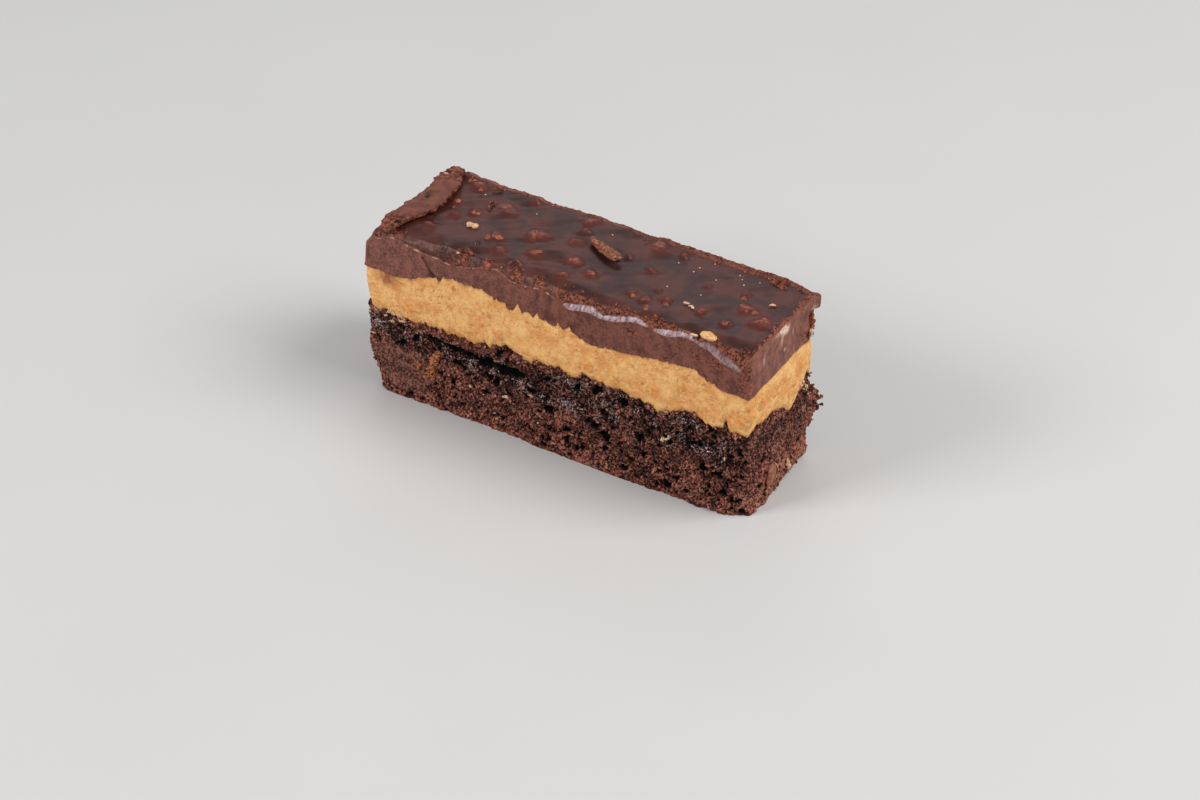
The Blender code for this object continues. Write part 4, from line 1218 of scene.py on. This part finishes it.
# %% [markdown]
# ## Crumbs on the brownie
#
# The knife leaves loose crumbs on the cut. They stand on the walls of the sponge, not in its pores, so each
# is put where a trial of the relief finds the wall high. They take the brownie's own material.


# %% Brownie crumbs
def on_wall(columns, heights, low, high):
    """Nominal points of the wall at the given columns, at shares of the height between two lines."""
    ring = plan.ring(0.0)[columns]
    z = low[columns] + (high[columns] - low[columns]) * heights
    return np.stack([ring[:, 0], ring[:, 1], z], -1)


def out_of_wall(columns):
    """The outward directions of chosen columns, as rows of X, Y and Z."""
    return np.concatenate([plan.outward[columns], np.zeros((len(columns), 1))], -1)


WALL_CRUMBS, SEAM_CRUMBS, CLUMP_CRUMBS = 5200, 520, 60


def brownie_crumbs(count=WALL_CRUMBS):
    """Crumbs at random places of the wall, kept where the relief is high, and along the cream's lower line;
    then the soaked crumbs of a smear, the clump at the far right corner, and three at the left end."""
    random = np.random.default_rng(8)
    weight = 0.3 + 0.7 * plan.front + 0.1 * plan.right
    columns = random.choice(len(plan.inner), count, p=weight / weight.sum())
    place = on_wall(columns, random.uniform(0.02, 0.99, count), np.zeros(len(plan.inner)), BROWNIE_LINE)
    front, right = plan.front[columns], plan.right[columns]
    relief, hollow, smooth = crumb_relief(place, front, right)
    radius = 0.13 + 0.3 * random.uniform(0, 1, count) ** 2
    out = np.clip(relief, DEEPEST, HIGHEST) + stance(place, front, right, plan.back[columns]) + 0.1 * radius
    centres = bend(place) + out[:, None] * out_of_wall(columns)
    kept = (hollow < 0.6) & (random.uniform(0, 1, count) > smooth * 1.2) & (centres[:, 2] > 0.3)
    kept &= np.hypot(centres[:, 1] + 3.8, (centres[:, 2] - 6.3) * 0.6) + 9 * (centres[:, 0] < 49) > 1.7
    shapes = random.uniform(0.6, 1.3, (count, 3)) * radius[:, None]
    shell = Shell()
    values = {"hollow": 0.3 * random.uniform(0, 1, count), "moist": moist_crumb(place), "close": right}
    values["tone"] = random.uniform(0, 1, count) ** 2.5
    values = {key: value[kept] for key, value in values.items()}
    print("loose crumbs:", int(kept.sum()))
    pebbles(shell, centres[kept], shapes[kept], random.uniform(0, 6, count)[kept],
            random.uniform(0, 3, count)[kept], rough=0.7, salt=70, rows=2, columns=5, **values)
    count = SEAM_CRUMBS
    columns = random.integers(0, len(plan.inner), count)
    place = on_wall(columns, np.ones(count), np.zeros(len(plan.inner)), BROWNIE_LINE)
    place[:, 2] += random.normal(-0.15, 0.35, count)
    radius = 0.18 + 0.4 * random.uniform(0, 1, count) ** 2
    pebbles(shell, bend(place) + 0.15 * out_of_wall(columns),
            random.uniform(0.7, 1.3, (count, 3)) * radius[:, None], random.uniform(0, 6, count),
            random.uniform(0, 3, count), rough=0.7, salt=73, hollow=0.15, moist=0.35,
            tone=random.uniform(0, 1, count))
    soaked = np.array([(-31.2, 14.9), (-31.7, 13.9), (-32.2, 12.8), (-32.3, 11.7), (-32.9, 10.6),
                       (-33.1, 9.4), (-33.9, 8.4), (-34.6, 7.4), (-37.2, 10.1), (-36.7, 9.4), (-33.0, 7.5),
                       (-32.9, 12.4)])
    where = np.column_stack([soaked[:, 0], np.full(len(soaked), -HALF_WIDTH - 0.15), soaked[:, 1]])
    pebbles(shell, bend(where), random.uniform(0.5, 0.9, (len(soaked), 3)) * (1, 0.7, 0.9), 0.0, 0.0,
            rough=1.1, salt=74, rows=10, columns=14, smear=1.0, tone=0.6)
    clump = np.array([(48.6, 13.4, 18.4), (49.1, 14.4, 17.0), (48.6, 15.3, 16.4), (49.0, 16.4, 15.0),
                      (48.4, 16.2, 13.4), (49.0, 14.8, 12.9), (48.4, 12.2, 20.0), (48.9, 13.8, 15.4),
                      (48.9, 16.4, 11.6), (49.3, 13.2, 19.2)])
    sizes = random.uniform(0.7, 1.5, (len(clump), 3))
    pebbles(shell, clump, sizes, random.uniform(0, 3, len(clump)), 0.3, rough=1.0, salt=71, rows=16,
            columns=22, hollow=0.3, close=1.0)
    ragged = clump[random.integers(0, len(clump), CLUMP_CRUMBS)] + random.normal(0, 0.85, (CLUMP_CRUMBS, 3))
    pebbles(shell, ragged, random.uniform(0.3, 0.75, (CLUMP_CRUMBS, 3)), random.uniform(0, 6, CLUMP_CRUMBS), 0.5,
            rough=0.9, salt=77, rows=4, columns=7, hollow=0.7 * random.uniform(0, 1, CLUMP_CRUMBS) ** 2,
            close=1.0, tone=0.7 * random.uniform(0, 1, CLUMP_CRUMBS) ** 2)
    spike = [(-50.0, -13.6, 20.6), (-50.2, -13.9, 21.3), (-50.4, -12.4, 20.1)]
    pebbles(shell, spike, (0.8, 0.7, 0.9), 0.0, 0.2, rough=0.7, salt=72, rows=10, columns=14, hollow=0.3,
            moist=0.5)
    return finished("brownie_crumbs", shell, BROWNIE, None, smooth=False)


brownie_crumbs()

# %% [markdown]
# ## Nuts
#
# Bits of peanut lie in the crumb and on top. A nut's flesh is pale and waxy, lighter where it broke.


# %% Nut bits
def nut_material():
    """Waxy flesh of nut: warm where whole, paler where it broke."""
    surface = Surface("nut", Roughness=0.45, Specular_IOR_Level=0.5, Subsurface_Weight=0.2)
    noise, mix = surface.noise, surface.mix
    surface.shader.inputs["Subsurface Radius"].default_value = (1.0, 0.6, 0.3)
    surface.shader.inputs["Subsurface Scale"].default_value = 0.8 * MM
    pale = surface.value("pale")
    cloud = noise(1.0, 3.0)
    flesh = mix(cloud.between(0.35, 0.65), colour(206, 146, 88), colour(232, 184, 124))
    flesh = mix(pale, flesh, mix(cloud, colour(226, 186, 156), colour(250, 228, 208)))
    normal = surface.bump(noise(0.4, 3.0), 0.06, 0.8)
    return surface.done(Base_Color=flesh, Normal=normal)


NUTS_FRONT = (
    (-22.9, 8.5, 0.5), (-6.2, 12.4, 0.5), (-13.0, 9.5, 0.35), (-16.4, 3.5, 0.35), (28.6, 13.7, 0.65),
    (30.2, 14.9, 0.5), (44.5, 14.5, 0.6), (-48.4, 14.1, 0.4), (-43.4, 19.2, 0.65), (-40.5, 20.2, 0.8),
    (-44.6, 21.6, 0.6), (-42.2, 21.4, 0.45), (-4.2, 5.7, 0.35), (17.7, 1.8, 0.4), (7.9, 14.2, 0.35),
    (40.0, 0.7, 0.35), (-48.0, 22.4, 0.5), (3.0, 10.3, 0.3))
SPECKS_TOP = (
    (10.5, 14.2), (18.2, 8.6), (23.1, 6.9), (25.4, 12.2), (28.9, 6.8), (32.5, 11.0), (33.7, 9.9), (35.3, 8.0),
    (37.8, 10.6), (38.7, 13.0), (23.4, 9.0), (29.2, -0.1), (21.1, -1.0), (-33.7, 9.0), (-19.0, 8.0),
    (0.0, 10.0))
SPECKS_OF_SKIN = 46
PALE_TOP = ((29.5, -5.3, 0.3), (44.6, 4.5, 0.35), (-45.4, 10.2, 0.5), (-44.2, 11.0, 0.4), (-25.5, -13.9, 0.4))


def slivers(shell, rows, pale):
    """Thin, bowed splinters of nut: each row is a place, a yaw and a length, and the splinter is a ribbon."""
    for x, y, z, yaw, length in rows:
        share = np.linspace(-1, 1, 14)
        path = np.stack([share * length / 2, 0.15 * length * (1 - share**2), 0.08 * length * share**2], -1)
        path = turned(path, yaw, 0.4 * math.sin(7 * x)) + np.array([x, y, z])
        width = 0.42 * (1.1 - np.abs(share) ** 3)
        ribbon(shell, path, np.broadcast_to([0.1, 0.4, 1.0], path.shape), width, 0.3, rough=0.2, size=0.6,
               salt=86, columns=12, pale=pale)


def nut_bits():
    """Nibs, splinters and specks of nut at the places where the real bar shows them, and specks of nut skin
    strewn along two lines."""
    shell = Shell()
    random = np.random.default_rng(4)
    x, z, radius = np.array(NUTS_FRONT).T
    where = np.stack([x, np.full_like(x, -HALF_WIDTH + 0.1), z], -1)
    shapes = 0.75 * radius[:, None] * random.uniform(0.4, 1.3, (len(x), 3)) * (1.4, 0.9, 0.7)
    pebbles(shell, bend(where), shapes, random.normal(0, 0.5, len(x)), random.normal(0, 0.5, len(x)),
            rough=1.0, salt=80, rows=7, columns=10, pale=random.uniform(0.2, 1.0, len(x)))
    slivers(shell,
            [(-13.0, -14.6, 9.3, 0.2, 1.7), (-6.4, -14.5, 12.2, -0.1, 1.6), (29.4, -14.6, 14.2, 0.4, 1.9),
             (28.6, -5.1, 44.4, 0.4, 1.5), (30.2, -5.8, 44.4, -0.5, 1.5), (44.9, 3.9, 44.5, 0.5, 1.5),
             (35.9, -14.0, 43.7, 0.1, 1.9)], 0.6)
    ends = [(50.3, 3.7, 4.6), (50.2, 4.2, 3.4), (49.9, 12.6, 33.9), (50.1, 12.4, 35.0), (50.0, 12.8, 38.7)]
    sizes = [(0.4, 0.6, 1.1), (0.4, 0.7, 0.6), (0.35, 0.45, 0.6), (0.35, 0.45, 0.75), (0.35, 0.4, 0.6)]
    pebbles(shell, ends, sizes, 0.0, 0.3, rough=0.9, salt=81, rows=10, columns=14,
            pale=[0.3, 0.5, 0.7, 0.6, 0.8])
    x, y = np.array(SPECKS_TOP).T
    where = np.stack([x, y, top(x, y) + 0.08], -1)
    pebbles(shell, where, (0.2, 0.15, 0.12), x, 0.0, rough=0.5, salt=82, pale=1.0)
    x, y, radius = np.array(PALE_TOP).T
    where = np.stack([x, y, top(x, y) + 0.15 + 1.15 * (x < -43)], -1)
    pebbles(shell, where, radius[:, None] * np.array((1.0, 0.8, 0.5)), 2 * x, 0.2, rough=0.8, salt=83, rows=8,
            columns=12, pale=0.3)
    pebbles(shell, [(38.9, -12.9, 44.05)], (2.1, 1.35, 0.75), -0.12, -0.15, rough=0.16, salt=84, rows=24,
            columns=36, pale=0.0)
    two = [(-28.9, -4.2, 44.5), (-27.6, -4.0, 44.45)]
    pebbles(shell, two, (0.85, 0.75, 0.6), 0.4, 0.1, rough=0.25, salt=85, rows=14, columns=20, pale=0.25)
    count = SPECKS_OF_SKIN
    far_end = random.uniform(0, 1, count) > 0.5
    along = random.uniform(0, 1, count)
    x = np.where(far_end, 50.2, -48.5 + 8.0 * along)
    y = np.where(far_end, 8.2 + 5.5 * along, -14.7)
    z = np.where(far_end, 23.0 - 7.0 * along**2, 21.4) + random.normal(0, 0.6, count)
    pebbles(shell, bend(np.stack([x, y, z], -1)), random.uniform(0.12, 0.36, (count, 3)), 0.0, 0.4, rough=0.8,
            salt=78, rows=4, columns=7, pale=random.uniform(0, 0.8, count))
    return finished("nut_bits", shell, nut_material(), None)


nut_bits()

# %% [markdown]
# ## Broken chocolate
#
# Where the slab broke, it left bits: a loose strip along the left end, a shaving on top, curled flakes, and
# crumbs along the worn edges. Their broken faces are redder and duller than the skin.


# %% Broken chocolate material
def broken_material():
    """Broken chocolate: a dull whole face, torn and crisp grains, painted shade in gaps and on the shaving's
    lower sides, and buff dust.
    """
    surface = Surface("broken_chocolate", Specular_IOR_Level=0.35)
    noise, mix = surface.noise, surface.mix
    torn, crisp, gap, buff = (surface.value(name) for name in ("torn", "crisp", "gap", "buff"))
    fine = noise(0.9, 5.0, 0.65)
    whole = mix(noise(3.0, 4.0).between(0.38, 0.62), colour(96, 50, 37), colour(124, 69, 52))
    broken = mix(fine.between(0.38, 0.62), colour(74, 34, 25), colour(152, 84, 60))
    base = mix(torn, whole, broken)
    base = mix(crisp, base, mix(fine.between(0.4, 0.6), colour(140, 66, 42), colour(190, 110, 72)))
    base = mix(fine.between(0.42, 0.30) * torn * 0.5, base, colour(50, 22, 16))
    base = mix(buff, base, mix(fine.between(0.4, 0.6), colour(150, 98, 72), colour(206, 160, 124)))
    # Near black in cracks, in the strip's pores and on the shaving's lower sides: painted shade.
    base = mix(gap * 1.2, base, colour(16, 7, 5))
    normal = surface.bump(fine, 0.15, 0.4)
    rough = 0.5 + 0.15 * torn - 0.2 * crisp
    return surface.done(Base_Color=base, Roughness=rough, Normal=normal)


BROKEN = broken_material()

# %% [markdown]
# The strip is a ribbon along the left end, widest in the middle. Its thickness is ragged, a crack crosses it,
# and its near end crumbles into pores, so two functions of place say how broken and how open it is.

# %% The strip along the left end
STRIP = (
    (-15.1, -44.3, 3.0, 43.4), (-12.9, -44.6, 4.2, 44.2), (-11.0, -44.3, 5.4, 44.5), (-7.0, -43.0, 6.4, 44.6),
    (-2.0, -42.1, 7.1, 44.6), (3.0, -42.4, 6.4, 44.6), (8.0, -43.2, 7.0, 44.65), (11.5, -44.4, 4.8, 44.7),
    (14.0, -44.2, 3.2, 44.5))
CRACK = ((2.4, -44.3), (0.7, -44.5), (-0.9, -43.7), (-2.3, -43.5))


def strip_torn(points):
    """How broken the strip is at its points: at both ends, along its lower edges, and in noisy patches."""
    y, z = points[..., 1], points[..., 2]
    ends = np.clip(ease(-y, 8.5, 11.0) + ease(y, 6.5, 9.5), 0, 1)
    sides = 1 - ease(z - 0.1 * (points[..., 0] + 43.5), 44.85, 45.1)
    return np.clip(ends + sides + 0.5 * ease(drift(points, 2.4, salt=90), 0.2, 0.6), 0.08, 1)


def strip_gaps(points):
    """Depth of the strip's crack and of the gaps in its crumbling near end: the crack is near a bent line, and
    the gaps are a sponge's pores."""
    crack_y, crack_x = np.array(CRACK)[::-1].T
    x, y = points[..., 0], points[..., 1]
    away = np.abs(x - np.interp(y, crack_y, crack_x) + 0.25 * drift(points, 0.9, salt=88))
    inside = ease(y, crack_y[0] - 0.4, crack_y[0] + 0.4) * (1 - ease(y, crack_y[-1] - 0.4, crack_y[-1] + 0.4))
    crack = (1 - ease(away, 0.12, 0.4)) * inside
    crumbling = ease(-y, 8.8, 11.5) + 0.7 * ease(y, 8.5, 11.5)
    return np.maximum(crack, crumbling * sponge(points, 1.9, 0.5, salt=89)) * ease(points[..., 2], 44.3, 44.9)


def loose_strip():
    """The strip: a ribbon along a smoothed line of places, widths and heights, its edges stepped by noise."""
    shell = Shell()
    knots = np.array(STRIP)
    y = np.linspace(knots[0, 0], knots[-1, 0], 170)
    x, width, z = (np.interp(y, knots[:, 0], knots[:, column]) for column in (1, 2, 3))
    z = z + 0.12
    kernel = np.hanning(17) / np.hanning(17).sum()
    x, width, z = (np.convolve(np.pad(line, 8, "edge"), kernel, "valid") for line in (x, width, z))
    path = np.stack([x, y, z], -1)
    across = np.broadcast_to([1.0, 0.0, 0.1], path.shape)
    steps = np.round(2.2 * drift(path, 1.7, salt=91)) / 2.2
    width = width * (1.03 + 0.2 * steps + 0.05 * drift(path, 1.0, salt=91))
    ribbon(shell, path, across, width, 1.15, rough=0.38, size=1.2, salt=92, columns=112, square=0.26,
           torn=strip_torn, gaps=strip_gaps)
    return finished("loose_strip", shell, BROKEN, None)


loose_strip()


# %% [markdown]
# Lighter bits were thrown up by the cut: a thick shaving across the top, thin curls, grains of puffed rice
# that break through the skin, a chip that hangs on the right end, and drifts of crumbs along the worn edges.

# %% Shaving, flakes and crumbs
SHAVING_CRUMBS, EDGE_CRUMBS = 70, 3200


def bits_of_chocolate():
    """The shaving with its crumbs, the curls, grains of puffed rice, and the chip on the right end."""
    random = np.random.default_rng(21)
    shell = Shell()
    share = np.linspace(-1, 1, 60)
    x = 2.6 + 5.0 * share
    y = 2.7 - 2.0 * share + 0.3 * share**2
    path = np.stack([x, y, 44.72 + 0.1 * share], -1)
    across = np.broadcast_to([0.25, 1.0, 0.35], path.shape)
    taper = (0.62 + 0.38 * ease(share, -1.0, -0.2)) * (1 - np.abs(share) ** 16)
    width = 2.3 * taper * (1 + 0.35 * drift(path, 1.2, salt=93)) + 0.3
    # The shaving's lower sides are drawn in and darkened by its gaps: painted shade.
    ribbon(shell, path, across, width, 1.3, rough=0.2, size=1.4, salt=94, columns=48, square=0.2,
           torn=lambda points: 0.15 + 0.5 * ease(points[..., 2], 44.95, 45.2),
           gaps=lambda points: 0.45 * (1 - ease(points[..., 2], 44.6, 45.0)), buff=0.12)
    count = SHAVING_CRUMBS
    along = random.uniform(-0.95, 0.98, count)
    onto = np.column_stack([2.6 + 5.0 * along, 2.9 - 2.0 * along + random.normal(0, 0.35, count),
                            np.full(count, 45.32)])
    pebbles(shell, onto, random.uniform(0.15, 0.5, (count, 3)) * (1, 1, 0.6), random.uniform(0, 6, count),
            0.2, rough=0.6, salt=87, rows=4, columns=7, torn=1.0, crisp=random.uniform(0, 0.7, count),
            buff=0.9 * random.uniform(0, 1, count) ** 1.4)
    for at, radius, yaw, lift in (((-11.4, -12.6), 1.7, 0.4, 0.5), ((-24.0, -13.6), 1.9, 0.1, 0.3),
                                  ((-28.9, 5.0), 1.8, 1.9, 0.2), ((-32.0, 11.4), 1.0, 0.5, 0.3),
                                  ((42.3, 12.2), 1.3, 0.3, 0.3)):
        bow = np.linspace(0.2, 2.9, 30)
        curl = np.stack([radius * np.cos(bow), radius * 0.45 * np.sin(bow), lift + 0.5 * np.sin(bow)], -1)
        curl = turned(curl, yaw, 0.0) + np.array([*at, float(top(*np.array(at)[:, None])[0])])
        fade = 0.3 + 0.7 * np.sin(np.linspace(0.1, np.pi - 0.1, 30))
        ribbon(shell, curl, np.broadcast_to([0.1, 0.3, 1.0], curl.shape), fade, 0.34, rough=0.2, size=0.7,
               salt=95, columns=16)
    crisps = np.array([(-22.6, -6.1), (-21.7, -5.4), (-20.7, -5.0), (-20.1, -5.3), (-37.1, 1.3), (-37.2, 3.2),
                       (-31.2, 0.5), (-30.3, 1.0), (-40.0, 12.4), (-39.3, 12.7), (16.7, -8.2), (24.6, -7.1),
                       (19.8, -8.6), (21.3, -10.0), (21.8, -10.9), (39.3, 0.6), (39.7, -7.6), (41.2, -0.8),
                       (37.9, 3.6), (-9.6, -5.6), (4.9, -6.0), (-35.4, 9.7), (43.0, -0.4), (32.8, -5.9)])
    radius = random.uniform(0.5, 0.85, len(crisps))
    where = np.column_stack([crisps, top(*crisps.T) - 0.28])
    pebbles(shell, where, radius[:, None] * np.array((1.2, 1.0, 0.75)), random.uniform(0, 6, len(crisps)),
            0.0, rough=0.35, salt=96, rows=12, columns=16, crisp=random.uniform(0.2, 0.75, len(crisps)))
    far_edge = np.array([(49.2, 13.4, 38.2), (49.6, 13.2, 37.2), (49.0, 13.9, 36.3), (49.4, 13.5, 35.2),
                         (49.8, 12.4, 38.6)])
    pebbles(shell, [(50.5, -4.1, 6.4)], (0.55, 1.9, 3.0), 0.0, -0.35, rough=0.12, salt=75, rows=24,
            columns=32, crisp=0.5, buff=0.15)
    edge_line = [(50.8, -3.3, 9.2), (50.95, -2.3, 7.9), (51.0, -1.9, 6.6), (50.95, -2.3, 5.4),
                 (50.9, -3.3, 4.4), (50.8, -4.5, 3.6)]
    ribbon(shell, edge_line, [(0.0, 1.0, 0.2)] * 6, 0.3, 0.3, rough=0.15, size=0.6, salt=76, columns=10,
           buff=1.0)
    foot = [(50.5, -5.4, 3.6), (50.6, -4.9, 2.9), (50.5, -4.1, 3.1), (50.5, -5.9, 2.8)]
    pebbles(shell, foot, (0.45, 0.5, 0.5), 0.0, 0.3, rough=0.8, salt=77, rows=8, columns=12, buff=0.6,
            crisp=0.3)
    pebbles(shell, far_edge, (0.75, 0.7, 0.8), 0.3, 0.2, rough=0.8, salt=79, rows=10, columns=14, crisp=0.35,
            torn=1.0)
    pebbles(shell, [(-17.6, -14.3, 42.9)], (1.0, 0.9, 0.95), 0.0, 0.3, rough=0.2, salt=97, rows=16,
            columns=24, crisp=0.3, torn=1.0)
    return finished("chocolate_bits", shell, BROKEN, None)


def crumbs_of_chocolate(count=EDGE_CRUMBS):
    """Crumbs in drifts along the worn front edge, the far edge and the right end: where a slow noise is high,
    more of them are kept."""
    random = np.random.default_rng(33)
    where = random.uniform(0, 1, count)
    along = random.uniform(-HALF_LENGTH + 3, HALF_LENGTH - 1, count)
    across = random.uniform(-HALF_WIDTH + 1, HALF_WIDTH - 1.5, count)
    inwards = random.uniform(0, 1, count) ** 1.5
    front, back = where < 0.62, where > 0.8
    x = np.where(front | back, along, HALF_LENGTH + 0.1 - 0.9 * inwards)
    y = np.where(front, -HALF_WIDTH + 0.75 + 1.9 * inwards,
                 np.where(back, HALF_WIDTH - 0.7 - 1.2 * inwards, across))
    ground = top(np.clip(x, -48.6, 48.6), np.clip(y, -13.2, 13.2))
    z = ground - np.where(front, 1.0 * np.clip(-13.2 - y, 0, 1), 0.2 * (inwards < 0.4)) + 0.02
    heap = ~front & ~back & (where > 0.7)
    x = np.where(heap,
                 41.5 + 2.4 * drift(np.stack([along, across, z], -1), 1.0, salt=48) + 0.06 * (across + 6), x)
    y = np.where(heap, 12.6 - 0.15 * (x - 41.5) - 0.9 * inwards, y)
    z = np.where(heap, top(x, y) + 0.05, z)
    crowd = drift(np.stack([x, y * 0.5, 0 * z], -1), 2.6, salt=98)
    kept = (((crowd > random.uniform(-0.35, 0.75, count)) | heap)
            & ~(front & (random.uniform(0.2, 1.1, count) > worn(x))))
    radius = 0.10 + 0.34 * random.uniform(0, 1, count) ** 3
    shapes = radius[:, None] * random.uniform(0.6, 1.3, (count, 3))
    shell = Shell()
    pebbles(shell, np.stack([x, y, z], -1)[kept], shapes[kept], along[kept], across[kept], rough=0.7, salt=99,
            crisp=0.7 * random.uniform(0, 1, count)[kept] ** 3, torn=random.uniform(0.2, 1, count)[kept])
    return finished("chocolate_crumbs", shell, BROKEN, None, smooth=False)


bits_of_chocolate()
crumbs_of_chocolate()

# %% [markdown]
# ## Floor, lights and camera
#
# The bar stands on a pale, even floor. One large light from above and behind on the right lets the top shine
# softly, a smaller one fills the front, and a faint one keeps the back from going dark. The camera looks down
# on the front right corner from afar with a long lens, which keeps the upright edges nearly parallel.

# %% Floor
floor_mesh = bpy.data.meshes.new("floor")
FLOOR_HALF = 3.0
floor_mesh.from_pydata([(x * FLOOR_HALF, y * FLOOR_HALF, 0.0)
                        for x, y in ((-1, -1), (1, -1), (1, 1), (-1, 1))], [], [(0, 1, 2, 3)])
floor = bpy.data.objects.new("floor", floor_mesh)
bpy.context.scene.collection.objects.link(floor)
floor_surface = Surface("pale_floor", Roughness=0.55, Specular_IOR_Level=0.3)
floor_mesh.materials.append(floor_surface.done(Base_Color=floor_surface.mix(
                                                   floor_surface.noise(60.0, 2.0), colour(209, 208, 206),
                                                   colour(213, 212, 210))))


# %% Lights
def area_light(name, direction, distance, size, watts, hue=(1.0, 1.0, 1.0)):
    """A soft rectangular light at a distance along a direction, turned to shine back at the origin."""
    light = bpy.data.lights.new(name, "AREA")
    light.shape = "RECTANGLE"
    light.size, light.size_y = size
    light.energy = watts
    light.color = hue
    lamp = bpy.data.objects.new(name, light)
    direction = Vector(direction).normalized()
    lamp.location = direction * distance
    lamp.rotation_euler = direction.to_track_quat("Z", "Y").to_euler()
    bpy.context.scene.collection.objects.link(lamp)


world = bpy.data.worlds.new("studio")
bpy.context.scene.world = world
world.use_nodes = True
world.node_tree.nodes["Background"].inputs["Color"].default_value = (0.98, 0.99, 1.0, 1.0)
world.node_tree.nodes["Background"].inputs["Strength"].default_value = 0.34
area_light("key", (0.75, 0.25, 0.90), 1.1, (0.6, 0.6), 7.8)
area_light("front_soft", (-0.44, -0.68, 0.58), 1.1, (0.42, 0.34), 5.6, (0.98, 0.98, 1.0))
area_light("back_soft", (-0.44, 0.69, 0.60), 1.3, (0.7, 0.35), 1.2, (0.97, 0.94, 1.0))

# %% Camera
VIEW_BACK = Vector((0.44060, -0.68874, 0.57576))
CAMERA_PLACE = Vector((353.70, -548.15, 464.28)) * MM + Vector(CENTRE) * MM
camera_data = bpy.data.cameras.new("camera")
camera_data.sensor_width = 36.0
camera_data.lens = 105.0
camera_data.clip_start = 0.01
camera = bpy.data.objects.new("camera", camera_data)
camera.location = CAMERA_PLACE
camera.rotation_euler = VIEW_BACK.to_track_quat("Z", "Y").to_euler()
bpy.context.scene.collection.objects.link(camera)
bpy.context.scene.camera = camera
bpy.context.scene.view_settings.view_transform = "Standard"

# %% [markdown]
# Last, the box of the solid model is printed; every shell's points were drawn back into it when the shell was
# made.

# %% Sizes
print("CAD box", CAD_BOX)
